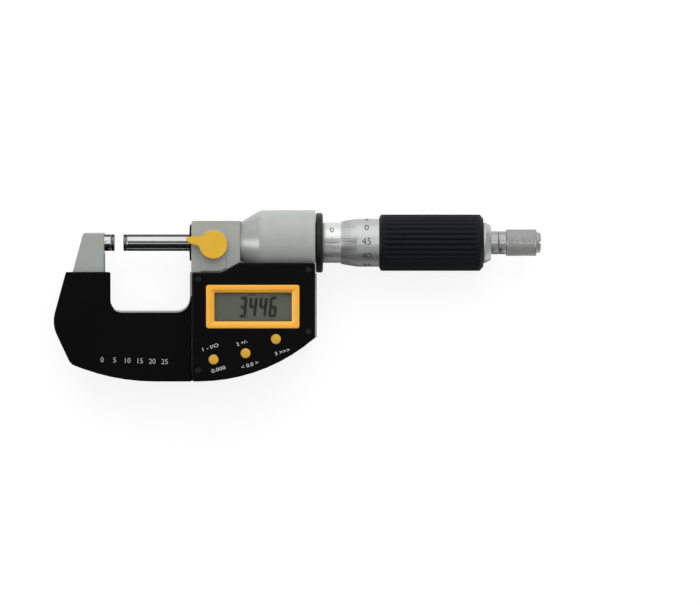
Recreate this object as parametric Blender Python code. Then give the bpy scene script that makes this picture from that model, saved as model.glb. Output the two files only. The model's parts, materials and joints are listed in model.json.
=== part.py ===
"""Digital outside micrometer, 0 to 25 mm, modelled as the assembly it is built from.

The measuring line is the X axis, from the anvil towards the ratchet. The origin is the
centre of the anvil's measuring face. +Y is up on the front view and +Z points out of
the display. Sizes are in millimetres and are turned into metres where meshes are made.
"""
import math

import bmesh
import bpy
from mathutils import Matrix, Vector

MM = 0.001
SEAT = 0.2                  # gap between pieces that rest on each other
RUN = 0.1                   # radial gap of a shaft in its bore
CHORD_ERROR = 0.06          # how far a facet may lie from the true arc

# Measuring line
RANGE = 25.0                # travel of the spindle from closed to open
READING = 3.446             # opening in which the instrument is modelled
SPINDLE_R = 3.175
TIP_LENGTH = 1.3            # carbide tips on spindle and anvil
ANVIL_REACH = 3.85          # anvil standing out of the arm
ANVIL_SEAT = 7.0            # depth of the anvil in the arm

# Stations along the measuring line
NOSE_MARGIN = 4.7           # nose face beyond the face of the fully open spindle
NOSE_LENGTH = 18.7
SHOULDER_LENGTH = 9.5
BARREL_LENGTH = 19.3
RING_LENGTH = 2.7
SLEEVE_SHOWN = 3.45         # sleeve left in sight when the spindle is closed
SLEEVE_COVERED = 1.5        # sleeve still under the thimble when fully open
THIMBLE_TAPER = 6.2
THIMBLE_BAND = 8.5
GRIP_LENGTH = 40.0
END_CAP_LENGTH = 2.8
NECK_LENGTH = 2.9           # each of the two collars between end cap and knob
KNOB_LENGTH = 11.7
KNOB_TIP_LENGTH = 1.7

X_NOSE = RANGE + NOSE_MARGIN
X_SHOULDER = X_NOSE + NOSE_LENGTH
X_BARREL = X_SHOULDER + SHOULDER_LENGTH
X_BARREL_END = X_BARREL + BARREL_LENGTH
X_CHAMBER = X_SHOULDER + 8.0    # encoder chamber, where the shoulder is wide enough
X_RING_END = X_BARREL_END + SEAT + RING_LENGTH
X_THIMBLE = X_RING_END + SLEEVE_SHOWN + READING
X_GRIP = X_THIMBLE + THIMBLE_TAPER + THIMBLE_BAND
X_GRIP_END = X_GRIP + GRIP_LENGTH
X_CAP = X_GRIP_END + SEAT
X_NECK = X_CAP + END_CAP_LENGTH
X_KNOB_NECK = X_NECK + NECK_LENGTH
X_KNOB = X_KNOB_NECK + NECK_LENGTH
X_KNOB_END = X_KNOB + KNOB_LENGTH
X_TIP_END = X_KNOB_END + KNOB_TIP_LENGTH

# Radii along the measuring line
NOSE_R = 8.3
BARREL_R = 12.6
RING_R = 11.5
SLEEVE_R = 7.75
SLEEVE_WALL = 1.15
THIMBLE_EDGE_R = 8.15
THIMBLE_R = 9.23
GRIP_R = 10.83
END_CAP_R = 7.8
NECK_R = 4.45
KNOB_R = 5.15
KNOB_TIP_R = 3.95
SEAL_R = 7.15
CHAMBER_R = BARREL_R - 1.7  # encoder chamber in the barrel
WIPER_R = SPINDLE_R + 2.3
BUSH_R = SPINDLE_R + 1.9
TUBE_R = SLEEVE_R - SLEEVE_WALL - RUN   # inner sleeve, under the graduated one
NUT_R = SLEEVE_R - 0.25

# What turns and guides the spindle
SEAL_LENGTH = 0.7
WIPER_LENGTH = 2.5
STATOR_T = 1.2
ROTOR_T = 1.0
ENCODER_GAP = 0.3           # between the encoder's two discs
HUB_LENGTH = 9.0            # from the encoder chamber's left wall to the end of the rotor's hub
KEY_R = 0.7                 # key between rotor and spindle
KEY_DEPTH = 0.75            # how far the key reaches into the spindle's groove
FLANGE_LENGTH = 7.5         # flange of the inner sleeve, screwed into the barrel
NUT_LENGTH = 4.0
NUT_THREAD = 4.6            # end of the inner sleeve that carries the nut
HUB_WALL = 2.6              # depth of the end cap's seat in the thimble
SPINDLE_STOP = 3.4          # end of the spindle short of the grip's end

# Grip and ratchet
GRIP_RIBS = 32
GRIP_GROOVE = 0.45          # depth of the grooves between the ribs
KNURL_TEETH = 24
KNURL_DEPTH = 0.25
RATCHET_STEM_R = 2.4
STUD_R = 1.9                # stem of the ratchet in the thimble
PAWL_T = 1.8
PAWL_GAP = 1.1              # pawl disc behind the knob's face
STEM_REACH = 7.6            # end of the stem behind the knob's face
KNOB_WALL = 1.0

# Frame, seen from the front
FRAME_T = 9.0               # thickness of arm, bow and limb
FRAME_EDGE = 0.6            # chamfer round the casting
ARM_TOP = 3.8
ARM_OUTER_X = -11.6
ARM_LEAN = 0.2745           # sideways run of the arm's outer edge per unit of height
THROAT_DEPTH = 26.1
THROAT_RIGHT = X_NOSE - 0.65
COVER_WRAP = 2.6            # cover standing outside the frame's outer edge
COVER_INSIDE = 1.95         # cover standing into the throat at the arm
COVER_TOP = -11.3
COVER_SHY = 0.8             # throat floor standing out of the cover
COVER_SKIN = 2.0            # cover over the frame's flat side
COVER_EDGE = 0.6
BOW_SIDE_X = -23.86         # where the cover's outer side turns down to the heel
BOW_SIDE_Y = -31.3
BOW_HEEL_X = -16.6
BOW_HEEL_Y = -46.7
BOW_FOOT_X = 1.5
BOW_BOTTOM = -53.3
BOW_SIDE_R = 12.0
BOW_HEEL_R = 4.0
BOW_FOOT_R = 80.0
NOSE_BOTTOM = -11.5
NOSE_EDGE = 2.2             # chamfer round the faces of the nose block
LIMB_RIGHT = X_BARREL_END + 0.5

# Display unit
UNIT_LEFT = X_NOSE + 0.4
UNIT_RIGHT = X_BARREL_END - 0.1
UNIT_TOP_LEFT = -11.7
UNIT_TOP = -7.9
UNIT_BOTTOM = -53.2
SLOPE_START = 11.2          # the top edge climbs between these distances from the left edge
SLOPE_END = 18.1
UNIT_ARC_R = 68.0           # round lower right edge
UNIT_ARC_X = UNIT_LEFT + 2.4    # where that arc leaves the foot
UNIT_ARC_END = UNIT_BOTTOM + UNIT_ARC_R - math.sqrt(UNIT_ARC_R ** 2 - (UNIT_RIGHT - UNIT_ARC_X) ** 2)
UNIT_FRONT = 13.0           # distance of the front face from the measuring line
UNIT_BACK = -13.0
UNIT_WALL = 1.6
UNIT_EDGE = 0.9
GASKET = 0.5
SADDLE_ROOF = 1.4           # hollow of the unit below the barrel
BEZEL = (35.5, 71.2, -32.9, -16.3)
WINDOW = (38.7, 68.2, -30.2, -19.2)
BEZEL_RAISED = 0.4
BEZEL_DEPTH = 0.6           # bezel let into the housing
LCD_T = 1.6
BOARD_T = 1.0
BOARD_BEHIND = 1.9          # board's front face from the back of the housing
SWITCH_T = 1.9
SWITCH_HALF = 1.6
BUTTON_R = 1.9
BUTTON_RAISED = 0.9
BUTTON_TRAVEL = 0.5
BUTTONS = {"power_button": (38.4, -44.8), "origin_button": (50.6, -42.4), "data_button": (62.2, -37.0)}
BUTTON_COLLAR = 0.7
SCREW_R = 1.25
HEAD_DEPTH = 0.9            # well of a screw's head
SHANK_R = 0.7
TAPPED = 2.6                # depth of the tapped holes in the limb
SCREW_INSET = 2.4           # screws from the unit's left and right edges
POST_R = 2.2                # pillars round the screws inside the unit
SCREWS = [(UNIT_LEFT + SCREW_INSET, UNIT_TOP_LEFT - SCREW_INSET),
          (UNIT_RIGHT - SCREW_INSET, 2.1 - BARREL_R),
          (UNIT_RIGHT - SCREW_INSET, UNIT_ARC_END + SCREW_INSET),
          (UNIT_LEFT + SCREW_INSET, UNIT_BOTTOM + 4.3)]
BARREL_SCREW = 2            # this one is tapped into the barrel, above the limb

# Lock lever: a round head with a blunt pointer, whose corners are (x, y, r) from the head's centre
LEVER_AT = (38.2, -0.9)
LEVER_R = 5.4
LEVER_POINTER = [(-10.35, 3.0, 0.7), (-10.35, 1.55, 0.5), (-8.5, 0.45, 1.5)]
POINTER_TOP = 3.2           # heights at which the pointer's flanks meet the head
POINTER_FOOT = 0.1
LEVER_T = 2.9
LOCK_BOSS_R = 6.1
LOCK_BOSS_T = 0.5
LOCK_SHAFT_R = 2.0

# Battery side
CELL_R = 10.0
CELL_T = 3.2
CAP_R = 12.0
CELL_AT = ((UNIT_LEFT + UNIT_RIGHT) / 2.0 + 0.4, UNIT_BOTTOM + CAP_R + 10.2)
CAP_T = 1.2
CAP_SUNK = 0.2              # cap and port cover below the back face
CUP_WALL = 1.4
CONTACT = (10.0, 3.0, 0.4)  # length, width and thickness of the battery's contact
SLOT = (14.0, 1.8, 0.7)     # length, width and depth of the coin slot
PORT = (65.2, 74.6, -24.2, -17.8)
PORT_T = 0.9
PORT_HEAD_R = 0.9
PORT_HEAD_T = 0.4
PORT_SHANK_R = 0.5
PORT_SCREW_INSET = 1.3
PORT_SIDE = 2.4             # plate's overlap on the opening, at its sides and at top and foot
PORT_END = 1.4


def clear_scene():
    for item in list(bpy.data.objects):
        bpy.data.objects.remove(item, do_unlink=True)


def material(name, colour, roughness, metallic=0.0):
    made = bpy.data.materials.get(name)
    if made is None:
        made = bpy.data.materials.new(name)
        made.use_nodes = True
        shader = made.node_tree.nodes["Principled BSDF"]
        shader.inputs["Base Color"].default_value = (*colour, 1.0)
        shader.inputs["Roughness"].default_value = roughness
        shader.inputs["Metallic"].default_value = metallic
    return made


GREY = ("grey_enamel", (0.31, 0.34, 0.31), 0.45, 0.0)
BLACK = ("black_plastic", (0.012, 0.012, 0.013), 0.4, 0.0)
RUBBER = ("black_rubber", (0.02, 0.021, 0.022), 0.75, 0.0)
STEEL = ("satin_steel", (0.62, 0.62, 0.6), 0.3, 1.0)
DARK_STEEL = ("dark_steel", (0.2, 0.2, 0.21), 0.35, 1.0)
CARBIDE = ("carbide", (0.17, 0.17, 0.18), 0.25, 1.0)
BRASS = ("brass", (0.7, 0.5, 0.2), 0.35, 1.0)
ORANGE = ("orange_plastic", (0.85, 0.41, 0.03), 0.4, 0.0)
YELLOW = ("yellow_enamel", (0.8, 0.45, 0.02), 0.4, 0.0)
GREEN = ("board_green", (0.03, 0.16, 0.07), 0.5, 0.0)
LCD = ("lcd_grey", (0.13, 0.14, 0.11), 0.25, 0.0)
CLEAR = ("clear_window", (0.75, 0.8, 0.78), 0.08, 0.0)


def arc_steps(radius, turn):
    """Number of chords that keep an arc of `turn` radians within CHORD_ERROR."""
    step = 2.0 * math.acos(max(0.0, 1.0 - CHORD_ERROR / radius))
    return max(1, math.ceil(abs(turn) / step))


def sides(radius):
    return max(8, 4 * math.ceil(arc_steps(radius, 2.0 * math.pi) / 4))


def arc(centre, radius, start, end):
    """Points on an arc from start to end, in degrees."""
    start, end = math.radians(start), math.radians(end)
    count = arc_steps(radius, end - start)
    angles = [start + (end - start) * i / count for i in range(count + 1)]
    return [(centre[0] + radius * math.cos(a), centre[1] + radius * math.sin(a)) for a in angles]


def rounded(corners):
    """Outline through (x, y) corners, or (x, y, r) corners rounded with radius r."""
    outline = []
    for i, corner in enumerate(corners):
        here = Vector(corner[:2])
        radius = corner[2] if len(corner) > 2 else 0.0
        if radius == 0.0:
            outline.append(tuple(here))
            continue
        before = (Vector(corners[i - 1][:2]) - here).normalized()
        after = (Vector(corners[(i + 1) % len(corners)][:2]) - here).normalized()
        half = math.acos(max(-1.0, min(1.0, before.dot(after)))) / 2.0
        centre = here + (before + after).normalized() * radius / math.sin(half)
        first = here + before * radius / math.tan(half) - centre
        turn = math.pi - 2.0 * half
        if first.x * (here - centre).y - first.y * (here - centre).x < 0.0:
            turn = -turn
        count = arc_steps(radius, turn)
        for step in range(count + 1):
            angle = turn * step / count
            outline.append((centre.x + first.x * math.cos(angle) - first.y * math.sin(angle),
                            centre.y + first.x * math.sin(angle) + first.y * math.cos(angle)))
    return outline


def box_outline(left, right, bottom, top, radius=0.0):
    return rounded([(left, bottom, radius), (right, bottom, radius), (right, top, radius), (left, top, radius)])


def grown(outline, distance):
    """Outline with each edge moved outward by distance, or inward when it is negative."""
    area = sum(a[0] * b[1] - b[0] * a[1] for a, b in zip(outline, outline[1:] + outline[:1]))
    sign = 1.0 if area > 0.0 else -1.0
    moved = []
    for i, point in enumerate(outline):
        here = Vector(point)
        into = (here - Vector(outline[i - 1])).normalized()
        out = (Vector(outline[(i + 1) % len(outline)]) - here).normalized()
        normal = Vector((into.y + out.y, -into.x - out.x)).normalized() * sign
        spread = max(0.3, normal.dot(Vector((into.y, -into.x)) * sign))
        moved.append(tuple(here + normal * distance / spread))
    return moved


def new_object(name, mesh_maker, finish, at=(0.0, 0.0, 0.0), parent=None, smooth=35.0):
    """Make an object from a bmesh in millimetres. Its origin is at `at`."""
    mesh_maker.normal_update()
    bmesh.ops.recalc_face_normals(mesh_maker, faces=mesh_maker.faces)
    bmesh.ops.transform(mesh_maker, matrix=Matrix.Scale(MM, 4), verts=mesh_maker.verts)
    mesh = bpy.data.meshes.new(name)
    mesh_maker.to_mesh(mesh)
    mesh_maker.free()
    if finish is not None:
        mesh.materials.append(material(*finish))
    mesh.shade_smooth()
    mesh.set_sharp_from_angle(angle=math.radians(smooth))
    made = bpy.data.objects.new(name, mesh)
    bpy.context.collection.objects.link(made)
    made.location = Vector(at) * MM
    made.parent = parent
    return made


def axis_empty(name, at=(0.0, 0.0, 0.0), parent=None):
    """Empty on a joint's axis, which carries the pieces that move together."""
    made = bpy.data.objects.new(name, None)
    bpy.context.collection.objects.link(made)
    made.empty_display_size = 5.0 * MM
    made.location = Vector(at) * MM
    made.parent = parent
    return made


def plate_mesh(outline, low, high, chamfer_high=0.0, chamfer_low=0.0, segments=1):
    """Outline in the XY plane, extruded from z = low to z = high, with broken edges."""
    made = bmesh.new()
    face = made.faces.new([made.verts.new((x, y, low)) for x, y in outline])
    grown_part = bmesh.ops.extrude_face_region(made, geom=[face])
    top = [item for item in grown_part["geom"] if isinstance(item, bmesh.types.BMVert)]
    bmesh.ops.translate(made, verts=top, vec=(0.0, 0.0, high - low))
    for level, width in ((high, chamfer_high), (low, chamfer_low)):
        if width > 0.0:
            rim = [edge for edge in made.edges if all(abs(v.co.z - level) < 1e-6 for v in edge.verts)]
            bmesh.ops.bevel(made, geom=rim, offset=width, segments=segments, profile=0.5, affect="EDGES",
                            clamp_overlap=True)
    return made


def plate(name, outline, low, high, finish, chamfer_high=0.0, chamfer_low=0.0, segments=1, **place):
    return new_object(name, plate_mesh(outline, low, high, chamfer_high, chamfer_low, segments), finish, **place)


def turned_mesh(profile, count, ring=False, along="X"):
    """Profile of (along, radius) points turned once round the axis.

    A ring's profile closes on itself. Otherwise the first and last points are the rims
    of flat ends.
    """
    made = bmesh.new()
    verts = [made.verts.new((x, 0.0, r)) for x, r in profile]
    pairs = list(zip(verts, verts[1:] + verts[:1])) if ring else list(zip(verts, verts[1:]))
    edges = [made.edges.new(pair) for pair in pairs]
    bmesh.ops.spin(made, geom=verts + edges, cent=(0, 0, 0), axis=(1, 0, 0), angle=2.0 * math.pi,
                   steps=count, use_merge=True, use_duplicate=False)
    bmesh.ops.remove_doubles(made, verts=made.verts, dist=1e-4)
    if not ring:
        rims = [edge for edge in made.edges if len(edge.link_faces) == 1]
        bmesh.ops.holes_fill(made, edges=rims, sides=0)
    if along == "Z":
        turn = Matrix(((0, 1, 0, 0), (0, 0, 1, 0), (1, 0, 0, 0), (0, 0, 0, 1)))
        bmesh.ops.transform(made, matrix=turn, verts=made.verts)
    return made


def turned(name, profile, finish, count=None, ring=False, along="X", **place):
    largest = max(r for _, r in profile)
    return new_object(name, turned_mesh(profile, count or sides(largest), ring, along), finish, **place)


def tube(x0, x1, inner, outer, chamfer=0.0):
    """Closed profile of a plain tube with its outer rims broken."""
    if chamfer == 0.0:
        return [(x0, inner), (x0, outer), (x1, outer), (x1, inner)]
    return [(x0, inner), (x0, outer - chamfer), (x0 + chamfer, outer), (x1 - chamfer, outer),
            (x1, outer - chamfer), (x1, inner)]


def combine(target, operation, tool_mesh, label):
    """Boolean modifier on target with a tool that stays hidden in renders.

    The exact solver loses the bevelled plates here, so the manifold solver is used.
    """
    tool = new_object(f"{target.name}_{label}", tool_mesh, None)
    tool.hide_render = True
    tool.display_type = "WIRE"
    made = target.modifiers.new(label, "BOOLEAN")
    made.operation = operation
    made.solver = "MANIFOLD"
    made.object = tool


def cut(target, tool_mesh, label):
    combine(target, "DIFFERENCE", tool_mesh, label)


def join(target, tool_mesh, label):
    combine(target, "UNION", tool_mesh, label)


def weld(target):
    """Closes up the slivers that Booleans leave where faces nearly meet."""
    last = target.modifiers.new("weld", "WELD")
    last.merge_threshold = 0.01 * MM


def drill(target, at, radius, low, high, label):
    """Round hole along Z."""
    made = turned_mesh([(low, radius), (high, radius)], sides(radius), along="Z")
    bmesh.ops.translate(made, verts=made.verts, vec=(at[0], at[1], 0.0))
    cut(target, made, label)


def limb_arc(shrink=0.0):
    """Round lower edge of the display unit, from its foot to its right side."""
    centre = (UNIT_ARC_X, UNIT_BOTTOM + UNIT_ARC_R)
    radius = UNIT_ARC_R - shrink
    right = UNIT_RIGHT - shrink
    end = -math.degrees(math.acos((right - centre[0]) / radius))
    return arc(centre, radius, -90.0, end)


def unit_outline(shrink=0.0, corner=0.8):
    """Outline of the display unit, moved inward by shrink."""
    lower = limb_arc(shrink)
    slope_left = (UNIT_LEFT + SLOPE_START, UNIT_TOP_LEFT - shrink)
    slope_right = (UNIT_LEFT + SLOPE_END, UNIT_TOP - shrink)
    corner = max(0.2, corner - shrink)
    return rounded([(UNIT_LEFT + shrink, UNIT_TOP_LEFT - shrink, corner), (UNIT_LEFT + shrink, UNIT_BOTTOM + shrink,
                    corner)] + lower + [(UNIT_RIGHT - shrink, UNIT_TOP - shrink, corner), slope_right, slope_left])


def inner_outline(inset, top, corner=0.0):
    """Outline inside the display unit: inset from its sides and foot, and flat at the top."""
    left, right = UNIT_LEFT + inset, UNIT_RIGHT - inset
    lower = [point for point in limb_arc(inset) if point[0] > left + 0.5]
    if lower[-1][0] < right - 0.01:
        lower.append((right, lower[-1][1]))
    return rounded([(left, top, corner), (left, lower[0][1])] + lower + [(right, top, corner)])


def bow_lines(inset):
    """Outer corners of the bow, moved inward from the cover's edge by inset."""
    side_x = ARM_OUTER_X - ARM_LEAN * (ARM_TOP - COVER_TOP) - COVER_WRAP * 1.035 + inset * 1.035
    lower_left = (BOW_SIDE_X + inset * 1.03, BOW_SIDE_Y + inset * 0.12, BOW_SIDE_R - inset)
    heel = (BOW_HEEL_X + inset * 0.72, BOW_HEEL_Y + inset * 0.8, BOW_HEEL_R - inset * 0.8)
    foot = (BOW_FOOT_X + inset * 0.17, BOW_BOTTOM + inset, BOW_FOOT_R - inset)
    return side_x, lower_left, heel, foot


def frame_outline():
    _, lower_left, heel, foot = bow_lines(COVER_WRAP)
    step_x = UNIT_LEFT + 0.2
    limb = [(x + 0.2, y + 0.3) for x, y in limb_arc(0.0)]
    limb = limb[:-1] + [(LIMB_RIGHT, limb[-1][1])]
    return rounded([(-ANVIL_REACH, ARM_TOP, 0.5), (ARM_OUTER_X - 0.3, ARM_TOP, 1.2), lower_left, heel, foot,
                    (step_x, BOW_BOTTOM + COVER_WRAP), (step_x, limb[0][1])] + limb[1:]
                   + [(LIMB_RIGHT, -RING_R - SEAT, 0.4), (X_BARREL_END - 0.8, -RING_R - SEAT),
                      (X_BARREL_END - 0.8, -SPINDLE_R), (X_NOSE + 1.0, -SPINDLE_R), (X_NOSE + 1.0, NOSE_BOTTOM + 1.0),
                      (THROAT_RIGHT, NOSE_BOTTOM, 0.4), (THROAT_RIGHT, -THROAT_DEPTH, 5.0),
                      (-ANVIL_REACH, -THROAT_DEPTH, 6.0)])


def barrel_profile(gap=0.0):
    """Cone from the nose to the barrel, rounded off at its wide end, as (x, r) points."""
    start = NOSE_R - 0.3
    points = [(X_SHOULDER - 2.0, start - 1.5 + gap)]
    for along, climb in ((0.0, 0.0), (0.72, 0.87), (0.86, 0.97), (1.0, 1.0)):
        points.append((X_SHOULDER + SHOULDER_LENGTH * along, start + (BARREL_R - start) * climb + gap))
    return points


def saddle_profile():
    """Space that the display unit leaves for cone and barrel."""
    return barrel_profile(SEAT) + [(X_BARREL_END + 2.0, BARREL_R + SEAT)]


def bore_profile():
    """Stepped bore of nose and barrel: wiper seat, bush seat, encoder chamber."""
    wiper = WIPER_R + RUN
    bush = BUSH_R + RUN
    step = X_NOSE + WIPER_LENGTH + 2.0 * RUN
    return [(X_NOSE - 1.0, wiper), (step, wiper), (step, bush), (X_CHAMBER, bush),
            (X_CHAMBER, CHAMBER_R), (X_BARREL_END + 1.0, CHAMBER_R)]


def lock_boss_outline():
    """Pad under the lever: its round top follows the lever's head, and its sides run down to the foot."""
    x, y = LEVER_AT
    reach = LOCK_BOSS_R * 0.82
    turn = math.degrees(math.acos(0.82))
    top = arc((x, y), LOCK_BOSS_R, -turn, 180.0 + turn)
    foot = NOSE_BOTTOM + 0.4
    return top + [(x - reach, foot), (x + 3.0, foot), (x + reach, foot + 1.3)]


def tapping_bottom(number):
    """Distance of a tapped hole's bottom from the frame's middle plane."""
    if number != BARREL_SCREW:
        return FRAME_T / 2.0 - TAPPED
    nearest = -SCREWS[number - 1][1] - SHANK_R - RUN
    return math.sqrt(CHAMBER_R ** 2 - nearest ** 2) + 0.3


def build_frame():
    half = FRAME_T / 2.0
    frame = plate("frame", frame_outline(), -half, half, GREY, FRAME_EDGE, FRAME_EDGE)
    nose = rounded([(X_NOSE, NOSE_R, 1.0), (X_NOSE, NOSE_BOTTOM), (UNIT_LEFT + SLOPE_START, NOSE_BOTTOM),
                    (UNIT_LEFT + SLOPE_END, UNIT_TOP + SEAT), (X_SHOULDER, UNIT_TOP + SEAT), (X_SHOULDER, NOSE_R)])
    join(frame, plate_mesh(nose, -NOSE_R, NOSE_R, NOSE_EDGE, NOSE_EDGE), "nose_block")
    swell = barrel_profile()
    barrel = swell + [(X_BARREL_END - 0.5, BARREL_R), (X_BARREL_END, BARREL_R - 0.5)]
    join(frame, turned_mesh(barrel, sides(BARREL_R)), "barrel")
    boss = plate_mesh(lock_boss_outline(), NOSE_R - NOSE_EDGE - 0.4, NOSE_R + LOCK_BOSS_T, 0.3)
    join(frame, boss, "lock_boss")
    cut(frame, turned_mesh(bore_profile(), sides(BARREL_R)), "stepped_bore")
    arm_hole = [(-ANVIL_REACH - ANVIL_SEAT - SEAT, SPINDLE_R + RUN), (-ANVIL_REACH + 1.0, SPINDLE_R + RUN)]
    cut(frame, turned_mesh(arm_hole, sides(SPINDLE_R)), "anvil_hole")
    drill(frame, LEVER_AT, LOCK_SHAFT_R + RUN, SPINDLE_R + 1.0, NOSE_R + LOCK_BOSS_T + 1.0, "lock_hole")
    window = inner_outline(UNIT_WALL + 2.0 * SCREW_INSET, -BARREL_R - 3.2, 2.0)
    cut(frame, plate_mesh(window, -FRAME_T, FRAME_T), "electronics_window")
    for number, place in enumerate(SCREWS, 1):
        bottom = tapping_bottom(number)
        mouth = half + 1.0 if bottom < half else BARREL_R
        drill(frame, place, SHANK_R + RUN, bottom, mouth, f"front_tapping_{number}")
        drill(frame, place, SHANK_R + RUN, -mouth, -bottom, f"rear_tapping_{number}")
    weld(frame)


def cover_outline():
    side_x, lower_left, heel, foot = bow_lines(0.0)
    inner_x = -ANVIL_REACH + COVER_INSIDE
    floor = -THROAT_DEPTH - COVER_SHY
    right = X_NOSE
    return rounded([(inner_x, COVER_TOP, 0.5), (side_x, COVER_TOP, 0.5), lower_left, heel, foot,
                    (right, BOW_BOTTOM, 0.4), (right, floor + 6.6, 0.2), (THROAT_RIGHT + 0.15, floor + 6.1),
                    (THROAT_RIGHT + 0.15, floor, 5.2), (inner_x, floor, 5.0)])


def build_frame_cover(name, front):
    """Half shell round the bow: flat skin, wrapped edges and a pocket for the casting."""
    half = FRAME_T / 2.0
    outer = half + SEAT + COVER_SKIN
    pocket = grown(frame_outline(), SEAT)
    if front:
        cover = plate(name, cover_outline(), SEAT / 2.0, outer, BLACK, COVER_EDGE, 0.0, 2)
        cut(cover, plate_mesh(pocket, -1.0, half + SEAT), "casting_pocket")
    else:
        cover = plate(name, cover_outline(), -outer, -SEAT / 2.0, BLACK, 0.0, COVER_EDGE, 2)
        cut(cover, plate_mesh(pocket, -half - SEAT, 1.0), "casting_pocket")
    weld(cover)


def build_anvil():
    start = -ANVIL_REACH - ANVIL_SEAT
    turned("anvil", [(start, SPINDLE_R - 0.3), (start + 0.3, SPINDLE_R), (-TIP_LENGTH - RUN, SPINDLE_R)], STEEL)
    turned("anvil_tip", [(-TIP_LENGTH, SPINDLE_R), (-0.15, SPINDLE_R), (0.0, SPINDLE_R - 0.15)], CARBIDE)


def build_nose_parts():
    inner = SPINDLE_R + RUN
    face = X_NOSE - RUN
    turned("seal_retainer", [(face - SEAL_LENGTH, inner + 0.2), (face - SEAL_LENGTH, SEAL_R - 0.25),
                             (face - SEAL_LENGTH + 0.25, SEAL_R), (face, SEAL_R), (face, inner + 0.2)],
           BLACK, ring=True)
    wiper_end = X_NOSE + RUN + WIPER_LENGTH
    turned("spindle_wiper", tube(X_NOSE + RUN, wiper_end, inner, WIPER_R), RUBBER, ring=True)
    bush = turned("front_bush", tube(wiper_end + SEAT, X_CHAMBER - SEAT, inner, BUSH_R, 0.2), BRASS, ring=True)
    drill(bush, LEVER_AT, LOCK_SHAFT_R - 0.3, 0.5, SPINDLE_R + 4.0, "pad_hole")
    turned("lock_pad", [(SPINDLE_R + 0.08, LOCK_SHAFT_R - 0.5), (BUSH_R, LOCK_SHAFT_R - 0.5)], BRASS,
           along="Z", at=(*LEVER_AT, 0.0))


def build_barrel_parts():
    """Pieces round the spindle from the encoder chamber to the adjusting nut."""
    inner = SPINDLE_R + RUN
    stator_x = X_CHAMBER + SEAT
    turned("encoder_stator", tube(stator_x, stator_x + STATOR_T, BUSH_R, CHAMBER_R - SEAT), GREEN, ring=True)
    start = hub_end() + SEAT
    flange_start = X_BARREL_END - FLANGE_LENGTH
    flange_end = X_BARREL_END - SEAT
    nut_x = sleeve_end() + SEAT
    thread_end = nut_x + NUT_THREAD
    slim = TUBE_R - 0.8
    thread = TUBE_R - 0.9
    turned("inner_sleeve",
           [(start, inner + RUN), (start, slim), (flange_start, slim), (flange_start, CHAMBER_R - RUN),
            (flange_end, CHAMBER_R - RUN), (flange_end, TUBE_R), (nut_x - SEAT, TUBE_R), (nut_x - SEAT, thread),
            (thread_end, thread), (thread_end, inner)], STEEL, ring=True)
    turned("barrel_ring",
           [(X_BARREL_END + SEAT, SLEEVE_R + RUN), (X_BARREL_END + SEAT, RING_R), (X_RING_END - 0.5, RING_R),
            (X_RING_END, RING_R - 0.5), (X_RING_END, SLEEVE_R + RUN)], BLACK, ring=True)
    turned("sleeve", tube(X_BARREL_END, sleeve_end(), SLEEVE_R - SLEEVE_WALL, SLEEVE_R), STEEL, ring=True)
    turned("adjusting_nut", tube(nut_x, nut_x + NUT_LENGTH, slim, NUT_R, 0.3), DARK_STEEL, ring=True, count=24)


def sleeve_end():
    """Right end of the sleeve: under the thimble even when the spindle is fully open."""
    return X_THIMBLE + RANGE - READING + SLEEVE_COVERED


def hub_end():
    """Right end of the encoder rotor's hub."""
    return X_CHAMBER + HUB_LENGTH


def key_station():
    """Place of the key along the measuring line, in the middle of the rotor's hub."""
    return hub_end() - 3.0


def build_rotor(carrier):
    """Encoder rotor and the key that makes it turn with the spindle."""
    disc_start = X_CHAMBER + SEAT + STATOR_T + ENCODER_GAP
    disc_end = disc_start + ROTOR_T
    disc_r = CHAMBER_R - 0.6
    inner = SPINDLE_R + RUN
    hub_r = inner + 2.0
    rotor = turned("encoder_rotor",
                   [(disc_start, inner), (disc_start, disc_r), (disc_end, disc_r), (disc_end, hub_r),
                    (hub_end(), hub_r), (hub_end(), inner)], BRASS, ring=True, parent=carrier)
    hole = turned_mesh([(0.0, KEY_R + RUN), (hub_r + 2.0, KEY_R + RUN)], 12, along="Z")
    bmesh.ops.translate(hole, verts=hole.verts, vec=(key_station(), 0.0, 0.0))
    cut(rotor, hole, "key_hole")
    weld(rotor)
    turned("rotor_key", [(SPINDLE_R - KEY_DEPTH, KEY_R), (hub_r, KEY_R)], STEEL, count=12, along="Z",
           at=(key_station(), 0.0, 0.0), parent=carrier)


def spindle_stop():
    """Right end of the spindle, in the thimble's hub."""
    return X_GRIP_END - SPINDLE_STOP


def build_spindle(carrier):
    start = READING + TIP_LENGTH + RUN
    stop = spindle_stop()
    spindle = turned("spindle", [(start, SPINDLE_R), (stop - 0.3, SPINDLE_R), (stop, SPINDLE_R - 0.3)], STEEL,
                     parent=carrier)
    key_left = key_station() - (RANGE - READING) - KEY_R - 0.5
    key_right = key_station() + READING + KEY_R + 0.5
    half = KEY_R + 0.15
    groove_floor = SPINDLE_R - KEY_DEPTH - 0.15
    groove = plate_mesh(box_outline(key_left, key_right, -half, half, 0.8), groove_floor, SPINDLE_R + 1.0)
    cut(spindle, groove, "key_groove")
    turned("spindle_tip", [(READING, SPINDLE_R - 0.15), (READING + 0.15, SPINDLE_R), (start - RUN, SPINDLE_R)],
           CARBIDE, parent=carrier)


def thimble_hub():
    """Left face of the solid hub inside the thimble, clear of the adjusting nut when closed."""
    return sleeve_end() + 2.0 * SEAT + NUT_THREAD + READING + 1.5


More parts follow.
